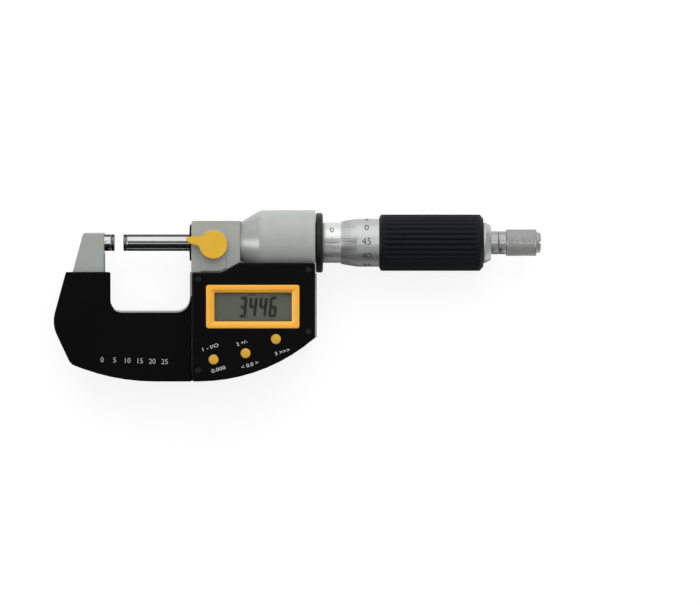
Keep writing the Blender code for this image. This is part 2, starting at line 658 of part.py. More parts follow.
def build_thimble(carrier):
    inner = SLEEVE_R + RUN
    hub_bore = SPINDLE_R + RUN
    right = X_GRIP_END - SEAT
    seat_r = END_CAP_R - 1.4
    seat_x = right - HUB_WALL
    turned("thimble",
           [(X_THIMBLE, inner), (X_THIMBLE, THIMBLE_EDGE_R), (X_THIMBLE + THIMBLE_TAPER, THIMBLE_R),
            (right, THIMBLE_R), (right, seat_r), (seat_x, seat_r), (seat_x, hub_bore),
            (thimble_hub(), hub_bore), (thimble_hub(), inner)], STEEL, ring=True, parent=carrier)
    spigot_x = seat_x + SEAT
    spigot_r = seat_r - SEAT
    bore = STUD_R + 0.3
    turned("thimble_end_cap",
           [(spigot_x, bore), (spigot_x, spigot_r), (X_CAP, spigot_r), (X_CAP, END_CAP_R)]
           + [(X_CAP + END_CAP_LENGTH * (0.3 + 0.7 * math.sin(a)), NECK_R + (END_CAP_R - NECK_R) * math.cos(a))
              for a in (0.0, 0.45, 0.85, 1.2)] + [(X_NECK, NECK_R), (X_NECK, bore)],
           STEEL, ring=True, parent=carrier)


def ribbed_mesh(stations, ribs, groove, marks):
    """Ring along X whose outside has grooves.

    Each station is (x, r, share of the groove's depth), and the last one joins the
    first. Each mark is (share of the pitch, 0 on a land or 1 at a groove's bottom).
    """
    made = bmesh.new()
    pitch = 2.0 * math.pi / ribs
    rings = []
    for x, radius, depth in stations:
        ring_verts = []
        for k in range(ribs):
            for share, low in marks:
                angle = pitch * (k + share)
                r = radius - groove * low * depth
                ring_verts.append(made.verts.new((x, r * math.sin(angle), r * math.cos(angle))))
        rings.append(ring_verts)
    count = len(rings[0])
    for near, far in zip(rings, rings[1:] + rings[:1]):
        for i in range(count):
            j = (i + 1) % count
            made.faces.new((near[i], near[j], far[j], far[i]))
    return made


def build_grip(carrier):
    """Rubber grip: straight grooves between two plain rounded ends."""
    left, right = X_GRIP, X_GRIP_END
    inner = THIMBLE_R + RUN
    stations = [(left, inner, 0.0), (left, GRIP_R - 1.1, 0.0), (left + 1.2, GRIP_R, 0.0),
                (left + 1.7, GRIP_R, 1.0), (right - 2.0, GRIP_R, 1.0), (right - 1.5, GRIP_R, 0.0),
                (right, GRIP_R - 1.1, 0.0), (right, inner, 0.0)]
    marks = [(0.0, 0.0), (0.62, 0.0), (0.81, 1.0)]
    new_object("thimble_grip", ribbed_mesh(stations, GRIP_RIBS, GRIP_GROOVE, marks), RUBBER, parent=carrier,
               smooth=20.0)


def build_ratchet(carrier):
    """Stem, pawl disc, spring and screw that stay with the thimble."""
    stem_r = RATCHET_STEM_R
    stem_end = X_KNOB + STEM_REACH
    turned("ratchet_stem",
           [(spindle_stop() + SEAT, STUD_R), (X_NECK + RUN, STUD_R), (X_NECK + RUN, NECK_R),
            (X_KNOB_NECK - SEAT, NECK_R), (X_KNOB_NECK - SEAT, stem_r), (stem_end, stem_r)], STEEL, parent=carrier)
    disc_start = X_KNOB + PAWL_GAP
    disc_end = disc_start + PAWL_T
    disc = ribbed_disc(disc_start, disc_end, stem_r + 2.5 * RUN, KNOB_R - KNOB_WALL - SEAT)
    new_object("ratchet_pawl", disc, DARK_STEEL, parent=carrier)
    build_spring("ratchet_spring", disc_end + 2.0 * SEAT, stem_end - 2.0 * SEAT, stem_r + 0.75, carrier)
    screw = turned("ratchet_screw",
                   [(stem_end + SEAT, KNOB_TIP_R), (X_TIP_END - 0.3, KNOB_TIP_R), (X_TIP_END, KNOB_TIP_R - 0.3)],
                   STEEL, parent=carrier)
    slot = plate_mesh(box_outline(X_TIP_END - 0.8, X_TIP_END + 1.0, -0.4, 0.4), -KNOB_TIP_R - 1.0, KNOB_TIP_R + 1.0)
    cut(screw, slot, "driver_slot")


def ribbed_disc(x0, x1, inner, outer, teeth=10, height=0.5):
    """Ring whose left face has saw teeth: each climbs by height and drops back."""
    made = bmesh.new()
    rings = []
    for radius in (inner, outer):
        low, high = [], []
        for k in range(teeth):
            for share, lift in ((0.02, 0.0), (0.98, height)):
                angle = 2.0 * math.pi * (k + share) / teeth
                y, z = radius * math.sin(angle), radius * math.cos(angle)
                low.append(made.verts.new((x0 + height - lift, y, z)))
                high.append(made.verts.new((x1, y, z)))
        rings.append((low, high))
    (inner_low, inner_high), (outer_low, outer_high) = rings
    for near, far in ((inner_low, outer_low), (outer_low, outer_high), (outer_high, inner_high),
                      (inner_high, inner_low)):
        for i in range(len(near)):
            j = (i + 1) % len(near)
            made.faces.new((near[i], near[j], far[j], far[i]))
    return made


def build_spring(name, x0, x1, radius, carrier, turns=4, wire=0.28):
    """Compression spring as a bevelled curve along X."""
    curve = bpy.data.curves.new(name, "CURVE")
    curve.dimensions = "3D"
    curve.bevel_depth = wire * MM
    curve.bevel_resolution = 1
    curve.use_fill_caps = True
    points = turns * 12 + 1
    spline = curve.splines.new("POLY")
    spline.points.add(points - 1)
    for i, point in enumerate(spline.points):
        angle = 2.0 * math.pi * turns * i / (points - 1)
        x = x0 + wire + (x1 - x0 - 2.0 * wire) * i / (points - 1)
        point.co = (x * MM, radius * math.sin(angle) * MM, radius * math.cos(angle) * MM, 1.0)
    curve.materials.append(material(*STEEL))
    made = bpy.data.objects.new(name, curve)
    bpy.context.collection.objects.link(made)
    made.parent = carrier
    return made


def build_knob(carrier):
    """Ratchet knob: smooth collar, straight knurl, and inside it the shoulder and chamber."""
    chamber = KNOB_R - KNOB_WALL
    bore = RATCHET_STEM_R + 0.15
    left, right = X_KNOB, X_KNOB_END
    floor = left + 0.8
    stations = [(X_KNOB_NECK, bore, 0.0), (X_KNOB_NECK, NECK_R, 0.0), (left, NECK_R, 0.0),
                (left, KNOB_R - 0.3, 0.0), (left + 0.3, KNOB_R, 1.0), (right - 0.4, KNOB_R, 1.0),
                (right, KNOB_R - 0.4, 0.0), (right, chamber, 0.0), (floor, chamber, 0.0), (floor, bore, 0.0)]
    marks = [(0.0, 0.0), (0.5, 1.0)]
    knurled = ribbed_mesh(stations, KNURL_TEETH, KNURL_DEPTH, marks)
    new_object("ratchet_knob", knurled, STEEL, parent=carrier, smooth=20.0)


def build_lock(carrier):
    """Lever and the shaft that its head is moulded on."""
    base = NOSE_R + LOCK_BOSS_T + SEAT
    top = 180.0 - math.degrees(math.asin(POINTER_TOP / LEVER_R))
    foot = 180.0 - math.degrees(math.asin(POINTER_FOOT / LEVER_R))
    outline = rounded(arc((0.0, 0.0), LEVER_R, foot - 360.0, top) + LEVER_POINTER)
    lever = plate("lock_lever", outline, base, base + LEVER_T, YELLOW, 0.5, 0.0, 2, parent=carrier)
    hole = turned_mesh([(base - 1.0, LOCK_SHAFT_R + RUN), (base + LEVER_T - 0.9, LOCK_SHAFT_R + RUN)],
                       sides(LOCK_SHAFT_R), along="Z")
    bmesh.ops.translate(hole, verts=hole.verts, vec=(*LEVER_AT, 0.0))
    cut(lever, hole, "shaft_socket")
    turned("lock_shaft", [(BUSH_R + SEAT, LOCK_SHAFT_R), (base + LEVER_T - 1.1, LOCK_SHAFT_R)], STEEL,
           along="Z", parent=carrier)


def build_housing():
    """Front shell: window, button holes, screw wells and the saddle round the barrel."""
    back = FRAME_T / 2.0 + GASKET
    housing = plate("display_housing", unit_outline(), back, UNIT_FRONT, BLACK, UNIT_EDGE, 0.0, 2)
    hollow = inner_outline(UNIT_WALL, -BARREL_R - SADDLE_ROOF)
    cut(housing, plate_mesh(hollow, back - 1.0, UNIT_FRONT - UNIT_WALL), "electronics_hollow")
    for number, place in enumerate(SCREWS, 1):
        if number != BARREL_SCREW:
            post = turned_mesh([(back, POST_R), (UNIT_FRONT - UNIT_WALL / 2.0, POST_R)], sides(POST_R), along="Z")
            bmesh.ops.translate(post, verts=post.verts, vec=(*place, 0.0))
            join(housing, post, f"screw_post_{number}")
    cut(housing, turned_mesh(saddle_profile(), sides(BARREL_R)), "barrel_saddle")
    left, right, bottom, top = BEZEL
    recess = box_outline(left - 0.15, right + 0.15, bottom - 0.15, top + 0.15, 1.0)
    cut(housing, plate_mesh(recess, UNIT_FRONT - BEZEL_DEPTH - SEAT, UNIT_FRONT + 1.0), "bezel_recess")
    left, right, bottom, top = WINDOW
    cut(housing, plate_mesh(box_outline(left, right, bottom, top), back, UNIT_FRONT + 1.0), "window_opening")
    for name, place in BUTTONS.items():
        drill(housing, place, BUTTON_R + 0.15, back, UNIT_FRONT + 1.0, f"{name}_hole")
    for number, place in enumerate(SCREWS, 1):
        drill(housing, place, SCREW_R + RUN, UNIT_FRONT - HEAD_DEPTH, UNIT_FRONT + 1.0, f"screw_well_{number}")
        drill(housing, place, SHANK_R + RUN, back - 1.0, UNIT_FRONT, f"screw_hole_{number}")
    weld(housing)


def screw(name, place, head_at, length, facing):
    """Screw along Z. Its head's face is at head_at and it looks along facing (+1 or -1)."""
    profile = [(0.0, SCREW_R - 0.1), (-0.55, SCREW_R - 0.1), (-0.55, SHANK_R), (-length, SHANK_R)]
    turned(name, [(head_at + facing * along, radius) for along, radius in profile], DARK_STEEL, count=10, along="Z",
           at=(*place, 0.0))


def build_display():
    """What sits in the front shell, from the frame's limb outward."""
    back = FRAME_T / 2.0 + GASKET
    rim = unit_outline(0.5)
    gasket = plate("housing_gasket", rim, FRAME_T / 2.0 + 0.1, back - 0.1, RUBBER)
    cut(gasket, plate_mesh(unit_outline(1.5), 0.0, UNIT_FRONT), "gasket_inside")
    cut(gasket, turned_mesh(saddle_profile(), sides(BARREL_R)), "barrel_saddle")
    left, right, bottom, top = BEZEL
    bezel = plate("display_bezel", box_outline(left, right, bottom, top, 0.9), UNIT_FRONT - BEZEL_DEPTH,
                  UNIT_FRONT + BEZEL_RAISED, ORANGE, 0.3)
    left, right, bottom, top = WINDOW
    opening = plate_mesh(box_outline(left, right, bottom, top), UNIT_FRONT - 2.0, UNIT_FRONT + 2.0)
    cut(bezel, opening, "bezel_opening")
    plate("display_window", box_outline(left + RUN, right - RUN, bottom + RUN, top - RUN), UNIT_FRONT - UNIT_WALL,
          UNIT_FRONT - 0.1, CLEAR)
    glass_front = UNIT_FRONT - UNIT_WALL - SEAT
    glass_back = glass_front - LCD_T
    plate("lcd_glass", box_outline(left - 1.8, right + 1.8, bottom - 2.2, top + 2.2), glass_back, glass_front, LCD)
    board_front = back + BOARD_BEHIND
    outline = inner_outline(UNIT_WALL + SEAT, -BARREL_R - SADDLE_ROOF - SEAT)
    board = plate("circuit_board", outline, board_front - BOARD_T, board_front, GREEN)
    for number, place in enumerate(SCREWS, 1):
        if number != BARREL_SCREW:
            drill(board, place, POST_R + SEAT, back - 1.0, UNIT_FRONT, f"post_hole_{number}")
    for name, low in (("lcd_connector_upper", top + 0.1), ("lcd_connector_lower", bottom - 1.7)):
        plate(name, box_outline(left + 1.0, right - 1.0, low, low + 1.6), board_front + RUN, glass_back - RUN, RUBBER)
    for number, place in enumerate(BUTTONS.values(), 1):
        x, y = place
        outline = box_outline(x - SWITCH_HALF, x + SWITCH_HALF, y - SWITCH_HALF, y + SWITCH_HALF)
        plate(f"switch_{number}", outline, board_front + RUN, board_front + RUN + SWITCH_T, DARK_STEEL)
    for number, place in enumerate(SCREWS, 1):
        head_at = UNIT_FRONT - 0.15
        screw(f"housing_screw_{number}", place, head_at, head_at - tapping_bottom(number) - 2.0 * RUN, 1.0)


def build_button(name, place):
    """Round button with the collar that keeps it in the housing."""
    board_front = FRAME_T / 2.0 + GASKET + BOARD_BEHIND
    collar_top = UNIT_FRONT - UNIT_WALL - SEAT
    collar_foot = collar_top - 0.9
    foot = board_front + RUN + SWITCH_T + BUTTON_TRAVEL + 0.15
    crest = UNIT_FRONT + BUTTON_RAISED
    crown = [(crest - 0.35, BUTTON_R), (crest - 0.1, BUTTON_R - 0.35), (crest, BUTTON_R - 0.9)]
    turned(name, [(foot, 1.0), (collar_foot, 1.0), (collar_foot, BUTTON_R + BUTTON_COLLAR),
                  (collar_top, BUTTON_R + BUTTON_COLLAR), (collar_top, BUTTON_R)] + crown, ORANGE, along="Z",
           at=(*place, 0.0), count=20)


def build_rear():
    """Rear shell with its battery cup and data port, and what it holds."""
    front = -FRAME_T / 2.0 - SEAT
    cover = plate("rear_cover", unit_outline(), UNIT_BACK, front, BLACK, 0.0, UNIT_EDGE, 2)
    x, y = CELL_AT
    cup = CELL_R + RUN + CUP_WALL
    pocket = box_outline(SCREWS[0][0] + POST_R + CUP_WALL, x - cup, y - cup, y + cup)
    cut(cover, plate_mesh(pocket, UNIT_BACK + UNIT_WALL, front + 1.0), "left_hollow")
    cut(cover, turned_mesh(saddle_profile(), sides(BARREL_R)), "barrel_saddle")
    nose = plate_mesh([(UNIT_LEFT - 1.0, -SPINDLE_R), (UNIT_LEFT - 1.0, UNIT_TOP_LEFT + SEAT),
                       (UNIT_LEFT + SLOPE_START, UNIT_TOP_LEFT + SEAT), (UNIT_LEFT + SLOPE_END, UNIT_TOP + SEAT),
                       (UNIT_LEFT + SLOPE_END, -SPINDLE_R)], -NOSE_R - SEAT, 0.0)
    cut(cover, nose, "nose_clearance")
    cell_low = UNIT_BACK + CAP_SUNK + CAP_T + 0.3
    drill(cover, CELL_AT, CAP_R + 0.15, UNIT_BACK - 1.0, cell_low, "cap_seat")
    drill(cover, CELL_AT, CELL_R + RUN, UNIT_BACK, cell_low + SEAT + CELL_T, "cell_cup")
    drill(cover, CELL_AT, CELL_R - 3.0, UNIT_BACK, front + 1.0, "contact_hole")
    for number, place in enumerate(SCREWS, 1):
        drill(cover, place, SCREW_R + RUN, UNIT_BACK - 1.0, UNIT_BACK + HEAD_DEPTH, f"screw_well_{number}")
        drill(cover, place, SHANK_R + RUN, UNIT_BACK, front + 1.0, f"screw_hole_{number}")
        head_at = UNIT_BACK + 0.15
        screw(f"rear_screw_{number}", place, head_at, -head_at - tapping_bottom(number) - 2.0 * RUN, -1.0)
    build_data_port(cover, front)
    weld(cover)
    turned("battery", [(cell_low, CELL_R - 0.3), (cell_low + 0.3, CELL_R), (cell_low + CELL_T - 0.8, CELL_R),
                       (cell_low + CELL_T, CELL_R - 0.8)], STEEL, along="Z", at=(x, y, 0.0), count=36)
    length, width, thickness = CONTACT
    contact_low = cell_low + CELL_T + 0.15
    contact = box_outline(x - length / 2.0, x + length / 2.0, y - width / 2.0, y + width / 2.0)
    plate("battery_contact", contact, contact_low, contact_low + thickness, BRASS)


def build_data_port(cover, front):
    """Socket for the data cable, closed by a plate with two screws."""
    left, right, bottom, top = PORT
    outline = box_outline(left, right, bottom, top)
    low = UNIT_BACK + 0.15
    high = low + PORT_T
    cut(cover, plate_mesh(grown(outline, 0.15), UNIT_BACK - 1.0, high + RUN), "port_recess")
    opening = box_outline(left + PORT_SIDE, right - PORT_SIDE, bottom + PORT_END, top - PORT_END)
    cut(cover, plate_mesh(opening, UNIT_BACK, front + 1.0), "port_opening")
    closing = plate("data_port_cover", outline, low, high, BLACK)
    middle = (bottom + top) / 2.0
    head_low = low + RUN
    head_high = head_low + PORT_HEAD_T
    tip = high + 2.5
    places = ((left + PORT_SCREW_INSET, middle), (right - PORT_SCREW_INSET, middle))
    for number, place in enumerate(places, 1):
        turned(f"data_port_screw_{number}",
               [(head_low, PORT_HEAD_R), (head_high, PORT_HEAD_R), (head_high, PORT_SHANK_R), (tip, PORT_SHANK_R)],
               DARK_STEEL, count=12, along="Z", at=(*place, 0.0))
        drill(closing, place, PORT_HEAD_R + RUN, low - 1.0, head_high + RUN, f"head_well_{number}")
        drill(closing, place, PORT_SHANK_R + RUN, low, high + 1.0, f"shank_hole_{number}")
        drill(cover, place, PORT_SHANK_R + RUN, UNIT_BACK, tip + SEAT, f"port_tapping_{number}")
    plate("data_connector", grown(opening, -SEAT), high + SEAT, front - SEAT, BRASS)


def build_battery_cap(carrier):
    """Cap of the battery compartment, with its coin slot."""
    low = UNIT_BACK + CAP_SUNK
    cap = turned("battery_cap", [(low, CAP_R - 0.3), (low + 0.3, CAP_R), (low + CAP_T, CAP_R)], BLACK, along="Z",
                 parent=carrier)
    length, width, depth = SLOT
    outline = box_outline(-length / 2.0, length / 2.0, -width / 2.0, width / 2.0, 0.8)
    slot = plate_mesh(outline, low - 1.0, low + depth)
    bmesh.ops.translate(slot, verts=slot.verts, vec=(*CELL_AT, 0.0))
    cut(cap, slot, "coin_slot")


def build():
    clear_scene()
    build_frame()
    build_frame_cover("front_frame_cover", True)
    build_frame_cover("rear_frame_cover", False)
    build_anvil()
    build_nose_parts()
    build_barrel_parts()
    rotor_axis = axis_empty("thimble_turn_axis")
    build_rotor(rotor_axis)
    feed = axis_empty("spindle_feed_axis", parent=rotor_axis)
    build_spindle(feed)
    build_thimble(feed)
    build_grip(feed)
    build_ratchet(feed)
    build_knob(axis_empty("ratchet_turn_axis", parent=feed))
    build_lock(axis_empty("lock_axis", (*LEVER_AT, 0.0)))
    build_housing()
    build_display()
    for name, place in BUTTONS.items():
        build_button(name, place)
    build_rear()
    build_battery_cap(axis_empty("battery_cap_axis", (*CELL_AT, 0.0)))


build()
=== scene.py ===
# %% [markdown]
# # A digital outside micrometer
#
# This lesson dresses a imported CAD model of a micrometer. The CAD model already has the
# right sizes and every separate piece. Here each visible piece gets finer edges, real
# graduations and a finish that looks like its material.
#
# X runs along the measuring line from the anvil to the ratchet, Y is up in the picture,
# and Z points out of the display at the camera. Shapes are written in millimetres, and
# skin() turns them into Blender's metres.

# %% Load the frame
import json
import math

import bmesh
import bpy
import numpy as np
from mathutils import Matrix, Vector

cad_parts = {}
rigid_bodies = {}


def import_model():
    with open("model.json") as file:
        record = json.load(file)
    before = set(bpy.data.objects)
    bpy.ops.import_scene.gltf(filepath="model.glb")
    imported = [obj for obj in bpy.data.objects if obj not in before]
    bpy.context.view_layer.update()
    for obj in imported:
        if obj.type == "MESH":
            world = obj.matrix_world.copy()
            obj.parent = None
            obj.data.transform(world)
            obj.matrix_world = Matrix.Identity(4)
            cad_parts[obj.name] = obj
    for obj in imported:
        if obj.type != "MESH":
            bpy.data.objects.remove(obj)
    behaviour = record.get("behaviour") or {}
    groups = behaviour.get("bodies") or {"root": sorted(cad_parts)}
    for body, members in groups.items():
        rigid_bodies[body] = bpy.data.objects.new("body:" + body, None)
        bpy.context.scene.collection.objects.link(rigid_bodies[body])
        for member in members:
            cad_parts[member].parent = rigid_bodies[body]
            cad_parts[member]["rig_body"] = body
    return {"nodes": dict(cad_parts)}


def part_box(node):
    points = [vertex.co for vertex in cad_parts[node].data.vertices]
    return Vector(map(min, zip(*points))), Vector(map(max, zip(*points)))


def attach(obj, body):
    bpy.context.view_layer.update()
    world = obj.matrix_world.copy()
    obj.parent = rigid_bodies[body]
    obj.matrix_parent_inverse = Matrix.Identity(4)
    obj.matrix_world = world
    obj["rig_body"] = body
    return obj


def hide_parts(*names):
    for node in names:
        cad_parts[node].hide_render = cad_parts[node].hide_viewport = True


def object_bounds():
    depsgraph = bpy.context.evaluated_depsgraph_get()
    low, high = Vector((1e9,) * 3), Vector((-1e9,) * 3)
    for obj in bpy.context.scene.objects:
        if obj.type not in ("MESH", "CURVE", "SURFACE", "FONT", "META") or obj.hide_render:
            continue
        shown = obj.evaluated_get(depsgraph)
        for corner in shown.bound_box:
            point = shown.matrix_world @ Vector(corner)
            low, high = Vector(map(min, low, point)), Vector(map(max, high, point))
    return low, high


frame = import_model()
cad_low, cad_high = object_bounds()
MM = 0.001
scene = bpy.context.scene

# %% [markdown]
# ## Stations along the measuring line
#
# A new piece has to sit where the CAD piece sits, so its ends are read from the box of
# the CAD node.

# %% Read where the CAD pieces end
def box(node):
    """Lowest and highest corner of a CAD node, in millimetres."""
    low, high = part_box(node)
    return np.array(low) / MM, np.array(high) / MM


def span(node, axis=0):
    """Lowest and highest coordinate of a CAD node along one axis, in millimetres."""
    low, high = box(node)
    return low[axis], high[axis]


ring_start, ring_end = span("barrel_ring")
sleeve_start, sleeve_end = span("sleeve")
thimble_start, thimble_end = span("thimble")
grip_start, grip_end = span("thimble_grip")
cap_start, cap_end = span("thimble_end_cap")
knob_start, knob_end = span("ratchet_knob")
spindle_radius = 3.175
sleeve_radius = 7.75
thimble_radius = 9.23
print("thimble edge at", round(thimble_start, 2), "mm, grip to", round(grip_end, 2), "mm")

# %% [markdown]
# ## Shader sums as Python sums
#
# A material is a graph of nodes. Wiring Math nodes by hand hides what they do, so one
# small class wraps a socket. Adding or multiplying two of them adds the Math node for
# it, and `node` makes any other kind of node.

# %% A socket that can be used in sums
class Wire:
    """One output socket of a shader node."""

    def __init__(self, tree, socket=None):
        self.tree = tree
        self.socket = socket

    def node(self, kind, settings=None, inputs=None, out=0):
        made = self.tree.nodes.new(kind)
        for key, value in (settings or {}).items():
            setattr(made, key, value)
        for key, value in (inputs or {}).items():
            if isinstance(value, Wire):
                self.tree.links.new(value.socket, made.inputs[key])
            else:
                made.inputs[key].default_value = value
        return Wire(self.tree, made.outputs[out] if made.outputs else None)

    def math(self, operation, first, second):
        return self.node("ShaderNodeMath", {"operation": operation}, {0: first, 1: second})

    def __add__(self, other):
        return self.math("ADD", self, other)

    def __radd__(self, other):
        return self.math("ADD", other, self)

    def __mul__(self, other):
        return self.math("MULTIPLY", self, other)

    def __rmul__(self, other):
        return self.math("MULTIPLY", other, self)


print("Wire can add and multiply")

# %% [markdown]
# ## Two ways to build a finish
#
# Colours are picked from a photograph as display values from 0 to 255. Blender shades in
# linear light, so each one is converted once with the standard curve.
#
# Nearly every finish is a Principled surface whose colour and roughness vary a little and
# whose small relief comes from a Bump node. Two patterns cover it: a grain that is the
# same in all directions, for paint, plastic, rubber and ink, and the fine rings that a
# lathe or grinding wheel leaves round an axis, for metals.

# %% Colours, patterns and the two kinds of finish
def display(red, green, blue):
    """Linear colour of a display colour from 0 to 255: the standard sRGB curve undone."""
    values = np.array([red, green, blue]) / 255.0
    linear = np.where(values <= 0.04045, values / 12.92, ((values + 0.055) / 1.055) ** 2.4)
    return (*linear.tolist(), 1.0)


def new_finish(name):
    """Empty material with its node tree, and a Wire to build nodes with."""
    made = bpy.data.materials.new(name)
    made.use_nodes = True
    made.node_tree.nodes.clear()
    return made, Wire(made.node_tree)


def grain(wire, size, detail=2.0, stretch=(1.0, 1.0, 1.0), roughness=0.5):
    """Noise from 0 to 1 on Object coordinates, with grains about `size` millimetres across."""
    place = wire.node("ShaderNodeTexCoord", out="Object")
    place = wire.node("ShaderNodeMapping", inputs={"Vector": place, "Scale": stretch})
    return wire.node("ShaderNodeTexNoise", inputs={
        "Vector": place, "Scale": 1.0 / (size * MM), "Detail": detail, "Roughness": roughness})


def surface(name, wire, factor, colours, roughness, metallic, relief, depth, strength, shine=0.5):
    """Principled surface whose colour goes from the first to the second as `factor` goes from 0 to 1.
    The relief is a height from 0 to 1, `depth` millimetres deep."""
    low, high = [display(*colour) for colour in colours]
    tint = wire.node("ShaderNodeMix", {"data_type": "RGBA"}, {0: factor, 6: low, 7: high}, out=2)
    bump = wire.node("ShaderNodeBump", inputs={
        "Height": relief, "Strength": strength, "Distance": depth * MM})
    shader = wire.node("ShaderNodeBsdfPrincipled", inputs={
        "Base Color": tint, "Roughness": roughness, "Metallic": metallic, "Normal": bump,
        "Specular IOR Level": shine})
    wire.node("ShaderNodeOutputMaterial", inputs={"Surface": shader})
    print("finish", name)


def coated(name, colours, cloud, fine, smooth, spread, depth, strength, shine=0.5, detail=(2, 2), speckle=0):
    """Paint, plastic, rubber or ink. A cloud varies the colour, with a share `speckle` of a fine grain.
    The fine grain varies the relief, and the roughness from `smooth` up by `spread`. `cloud` and `fine`
    are the sizes of the two in millimetres, and `detail` is how much detail each has."""
    made, wire = new_finish(name)
    broad = grain(wire, cloud, detail[0])
    close = grain(wire, fine, detail[1])
    factor = (1.0 - speckle) * broad + speckle * close
    surface(name, wire, factor, colours, smooth + spread * close, 0.0, close, depth, strength, shine)
    return made


def metal(name, colours, smooth, spread, ring, depth, strength, haze=0.4, metallic=1.0):
    """Metal with rings round the X axis, noise drawn out across X and `ring` millimetres wide. They vary
    the colour, of which a share `haze` comes from a cloud, the relief, and the roughness from `smooth`
    up by `spread`."""
    made, wire = new_finish(name)
    turning = grain(wire, ring, 2.0, (1.0, 0.03, 0.03), 0.6)
    factor = (1.0 - haze) * turning + haze * grain(wire, 5.0)
    surface(name, wire, factor, colours, smooth + spread * turning, metallic, turning, depth, strength)
    return made


print("patterns ready")

# %% [markdown]
# ## Enamel, plastic and rubber
#
# The frame is a casting whose baked grey enamel shows a soft orange-peel. The covers and
# the display unit are moulded in black plastic with a fine spark-eroded grain, the bezel
# in orange and the three buttons in a darker amber. The lock lever has a warm yellow
# enamel, and the grip is matt rubber.

# %% Painted and moulded finishes
enamel = coated("grey_enamel", ((143, 148, 143), (158, 163, 158)), 9.0, 0.5, 0.27, 0.08, 0.03, 0.25,
                detail=(3, 3))
plastic = coated("moulded_black", ((2, 2, 3), (5, 5, 6)), 14.0, 0.16, 0.34, 0.16, 0.012, 0.4, 0.06)
rubber = coated("grip_rubber", ((4, 7, 9), (10, 13, 15)), 6.0, 0.22, 0.5, 0.16, 0.03, 0.4, 0.16, (3, 3))
orange = coated("bezel_orange", ((230, 160, 30), (241, 172, 42)), 7.0, 0.14, 0.36, 0.14, 0.01, 0.35)
amber = coated("button_amber", ((194, 146, 22), (208, 160, 32)), 7.0, 0.14, 0.36, 0.14, 0.01, 0.35)
yellow = coated("yellow_enamel", ((206, 158, 16), (219, 172, 26)), 5.0, 0.45, 0.3, 0.12, 0.02, 0.3,
                detail=(2, 3))
green = coated("board_green", ((22, 78, 44), (30, 94, 54)), 0.4, 0.4, 0.35, 0.1, 0.01, 0.3)

# %% [markdown]
# ## Steel in several states, and brass
#
# The spindle is hardened and ground, so it is almost a mirror with very fine rings. The
# sleeve and thimble have a satin chrome plate that spreads every reflection. The ratchet
# end is plain turned steel, a little darker; on the knurled knob that darker colour is
# partly painted shade for the knurl's own grooves. The measuring faces are carbide, which is
# darker still. The ring behind the barrel is blackened steel, which keeps a faint sheen.
# Bushes and pads inside are brass.

# %% Metals
ground_steel = metal("ground_steel", ((180, 181, 182), (206, 207, 208)), 0.1, 0.08, 0.05, 0.002, 0.25)
satin_chrome = metal("satin_chrome", ((172, 174, 173), (196, 198, 197)), 0.27, 0.12, 0.07, 0.006, 0.4)
sleeve_chrome = metal("sleeve_chrome", ((204, 206, 204), (226, 228, 226)), 0.27, 0.12, 0.07, 0.006, 0.4)
carbide = metal("carbide", ((96, 97, 100), (124, 125, 128)), 0.22, 0.1, 0.05, 0.002, 0.3)
# The knob's steel colour is partly painted shade: darker to stand in for the shade the knurl casts in its
# own grooves. The tip screw takes the same finish.
knurl_shaded_steel = metal("knurl_shaded_steel", ((142, 143, 141), (168, 169, 167)), 0.3, 0.14, 0.07, 0.006, 0.4)
turned_steel = metal("turned_steel", ((144, 145, 144), (168, 169, 168)), 0.14, 0.1, 0.06, 0.003, 0.3)
oxide = metal("blackened_steel", ((26, 28, 27), (42, 44, 43)), 0.32, 0.14, 0.06, 0.01, 0.4, 0.0, 0.75)
brass = metal("turned_brass", ((188, 150, 84), (214, 178, 108)), 0.28, 0.12, 0.06, 0.006, 0.4, 0.0)

# %% [markdown]
# ## Display glass, ink and print
#
# The liquid crystal cell is a grey-green mirror behind polarisers, so it looks matt and
# a little uneven. Its segments are nearly black. The window in front is clear acrylic.
# Graduations are filled with black ink, and the plain marks on the covers are a white or
# pale grey pad print.

# %% Display and print finishes
def printed(name, colours, smooth=0.55, shine=0.5):
    """Ink or paint with a thin uneven coat."""
    return coated(name, colours, 0.08, 0.08, smooth, 0.15, 0.004, 0.3, shine)


def clear_acrylic():
    """Clear window: mostly see-through, with a gloss of 0.009 + 0.6 f^4, where f is 0 face on and
    1 edge on."""
    made, wire = new_finish("clear_acrylic")
    clear = wire.node("ShaderNodeBsdfTransparent", inputs={"Color": (0.95, 0.96, 0.95, 1.0)})
    gloss = wire.node("ShaderNodeBsdfPrincipled", inputs={
        "Base Color": display(238, 240, 238), "Roughness": 0.06 + 0.05 * grain(wire, 3.0), "Metallic": 1.0})
    facing = wire.node("ShaderNodeLayerWeight", inputs={"Blend": 0.5}, out="Facing")
    squared = facing * facing
    amount = 0.009 + 0.6 * squared * squared
    mixed = wire.node("ShaderNodeMixShader", inputs={0: amount, 1: clear, 2: gloss})
    wire.node("ShaderNodeOutputMaterial", inputs={"Surface": mixed})
    return made


crystal = coated("crystal_grey", ((82, 84, 73), (98, 99, 87)), 11.0, 0.1, 0.5, 0.1, 0.004, 0.2, 0.1,
                 (2, 1), 0.2)
acrylic = clear_acrylic()
segment_ink = printed("segment_ink", ((9, 10, 8), (16, 17, 14)), 0.5, 0.12)
black_ink = printed("black_ink", ((24, 24, 25), (40, 40, 41)))
white_print = printed("white_print", ((190, 192, 194), (214, 216, 218)))
grey_print = printed("grey_print", ((150, 152, 154), (172, 174, 176)))
print("display finishes ready")

# %% [markdown]
# ## From arrays to a mesh
#
# Every new piece starts as a grid of points, and its rows and columns make the faces. A
# closed direction wraps round to its start. Doubles are merged, which also closes the
# poles, and then all faces are turned outwards.

# %% Grids, meshes and who carries them
same_place = 1e-7


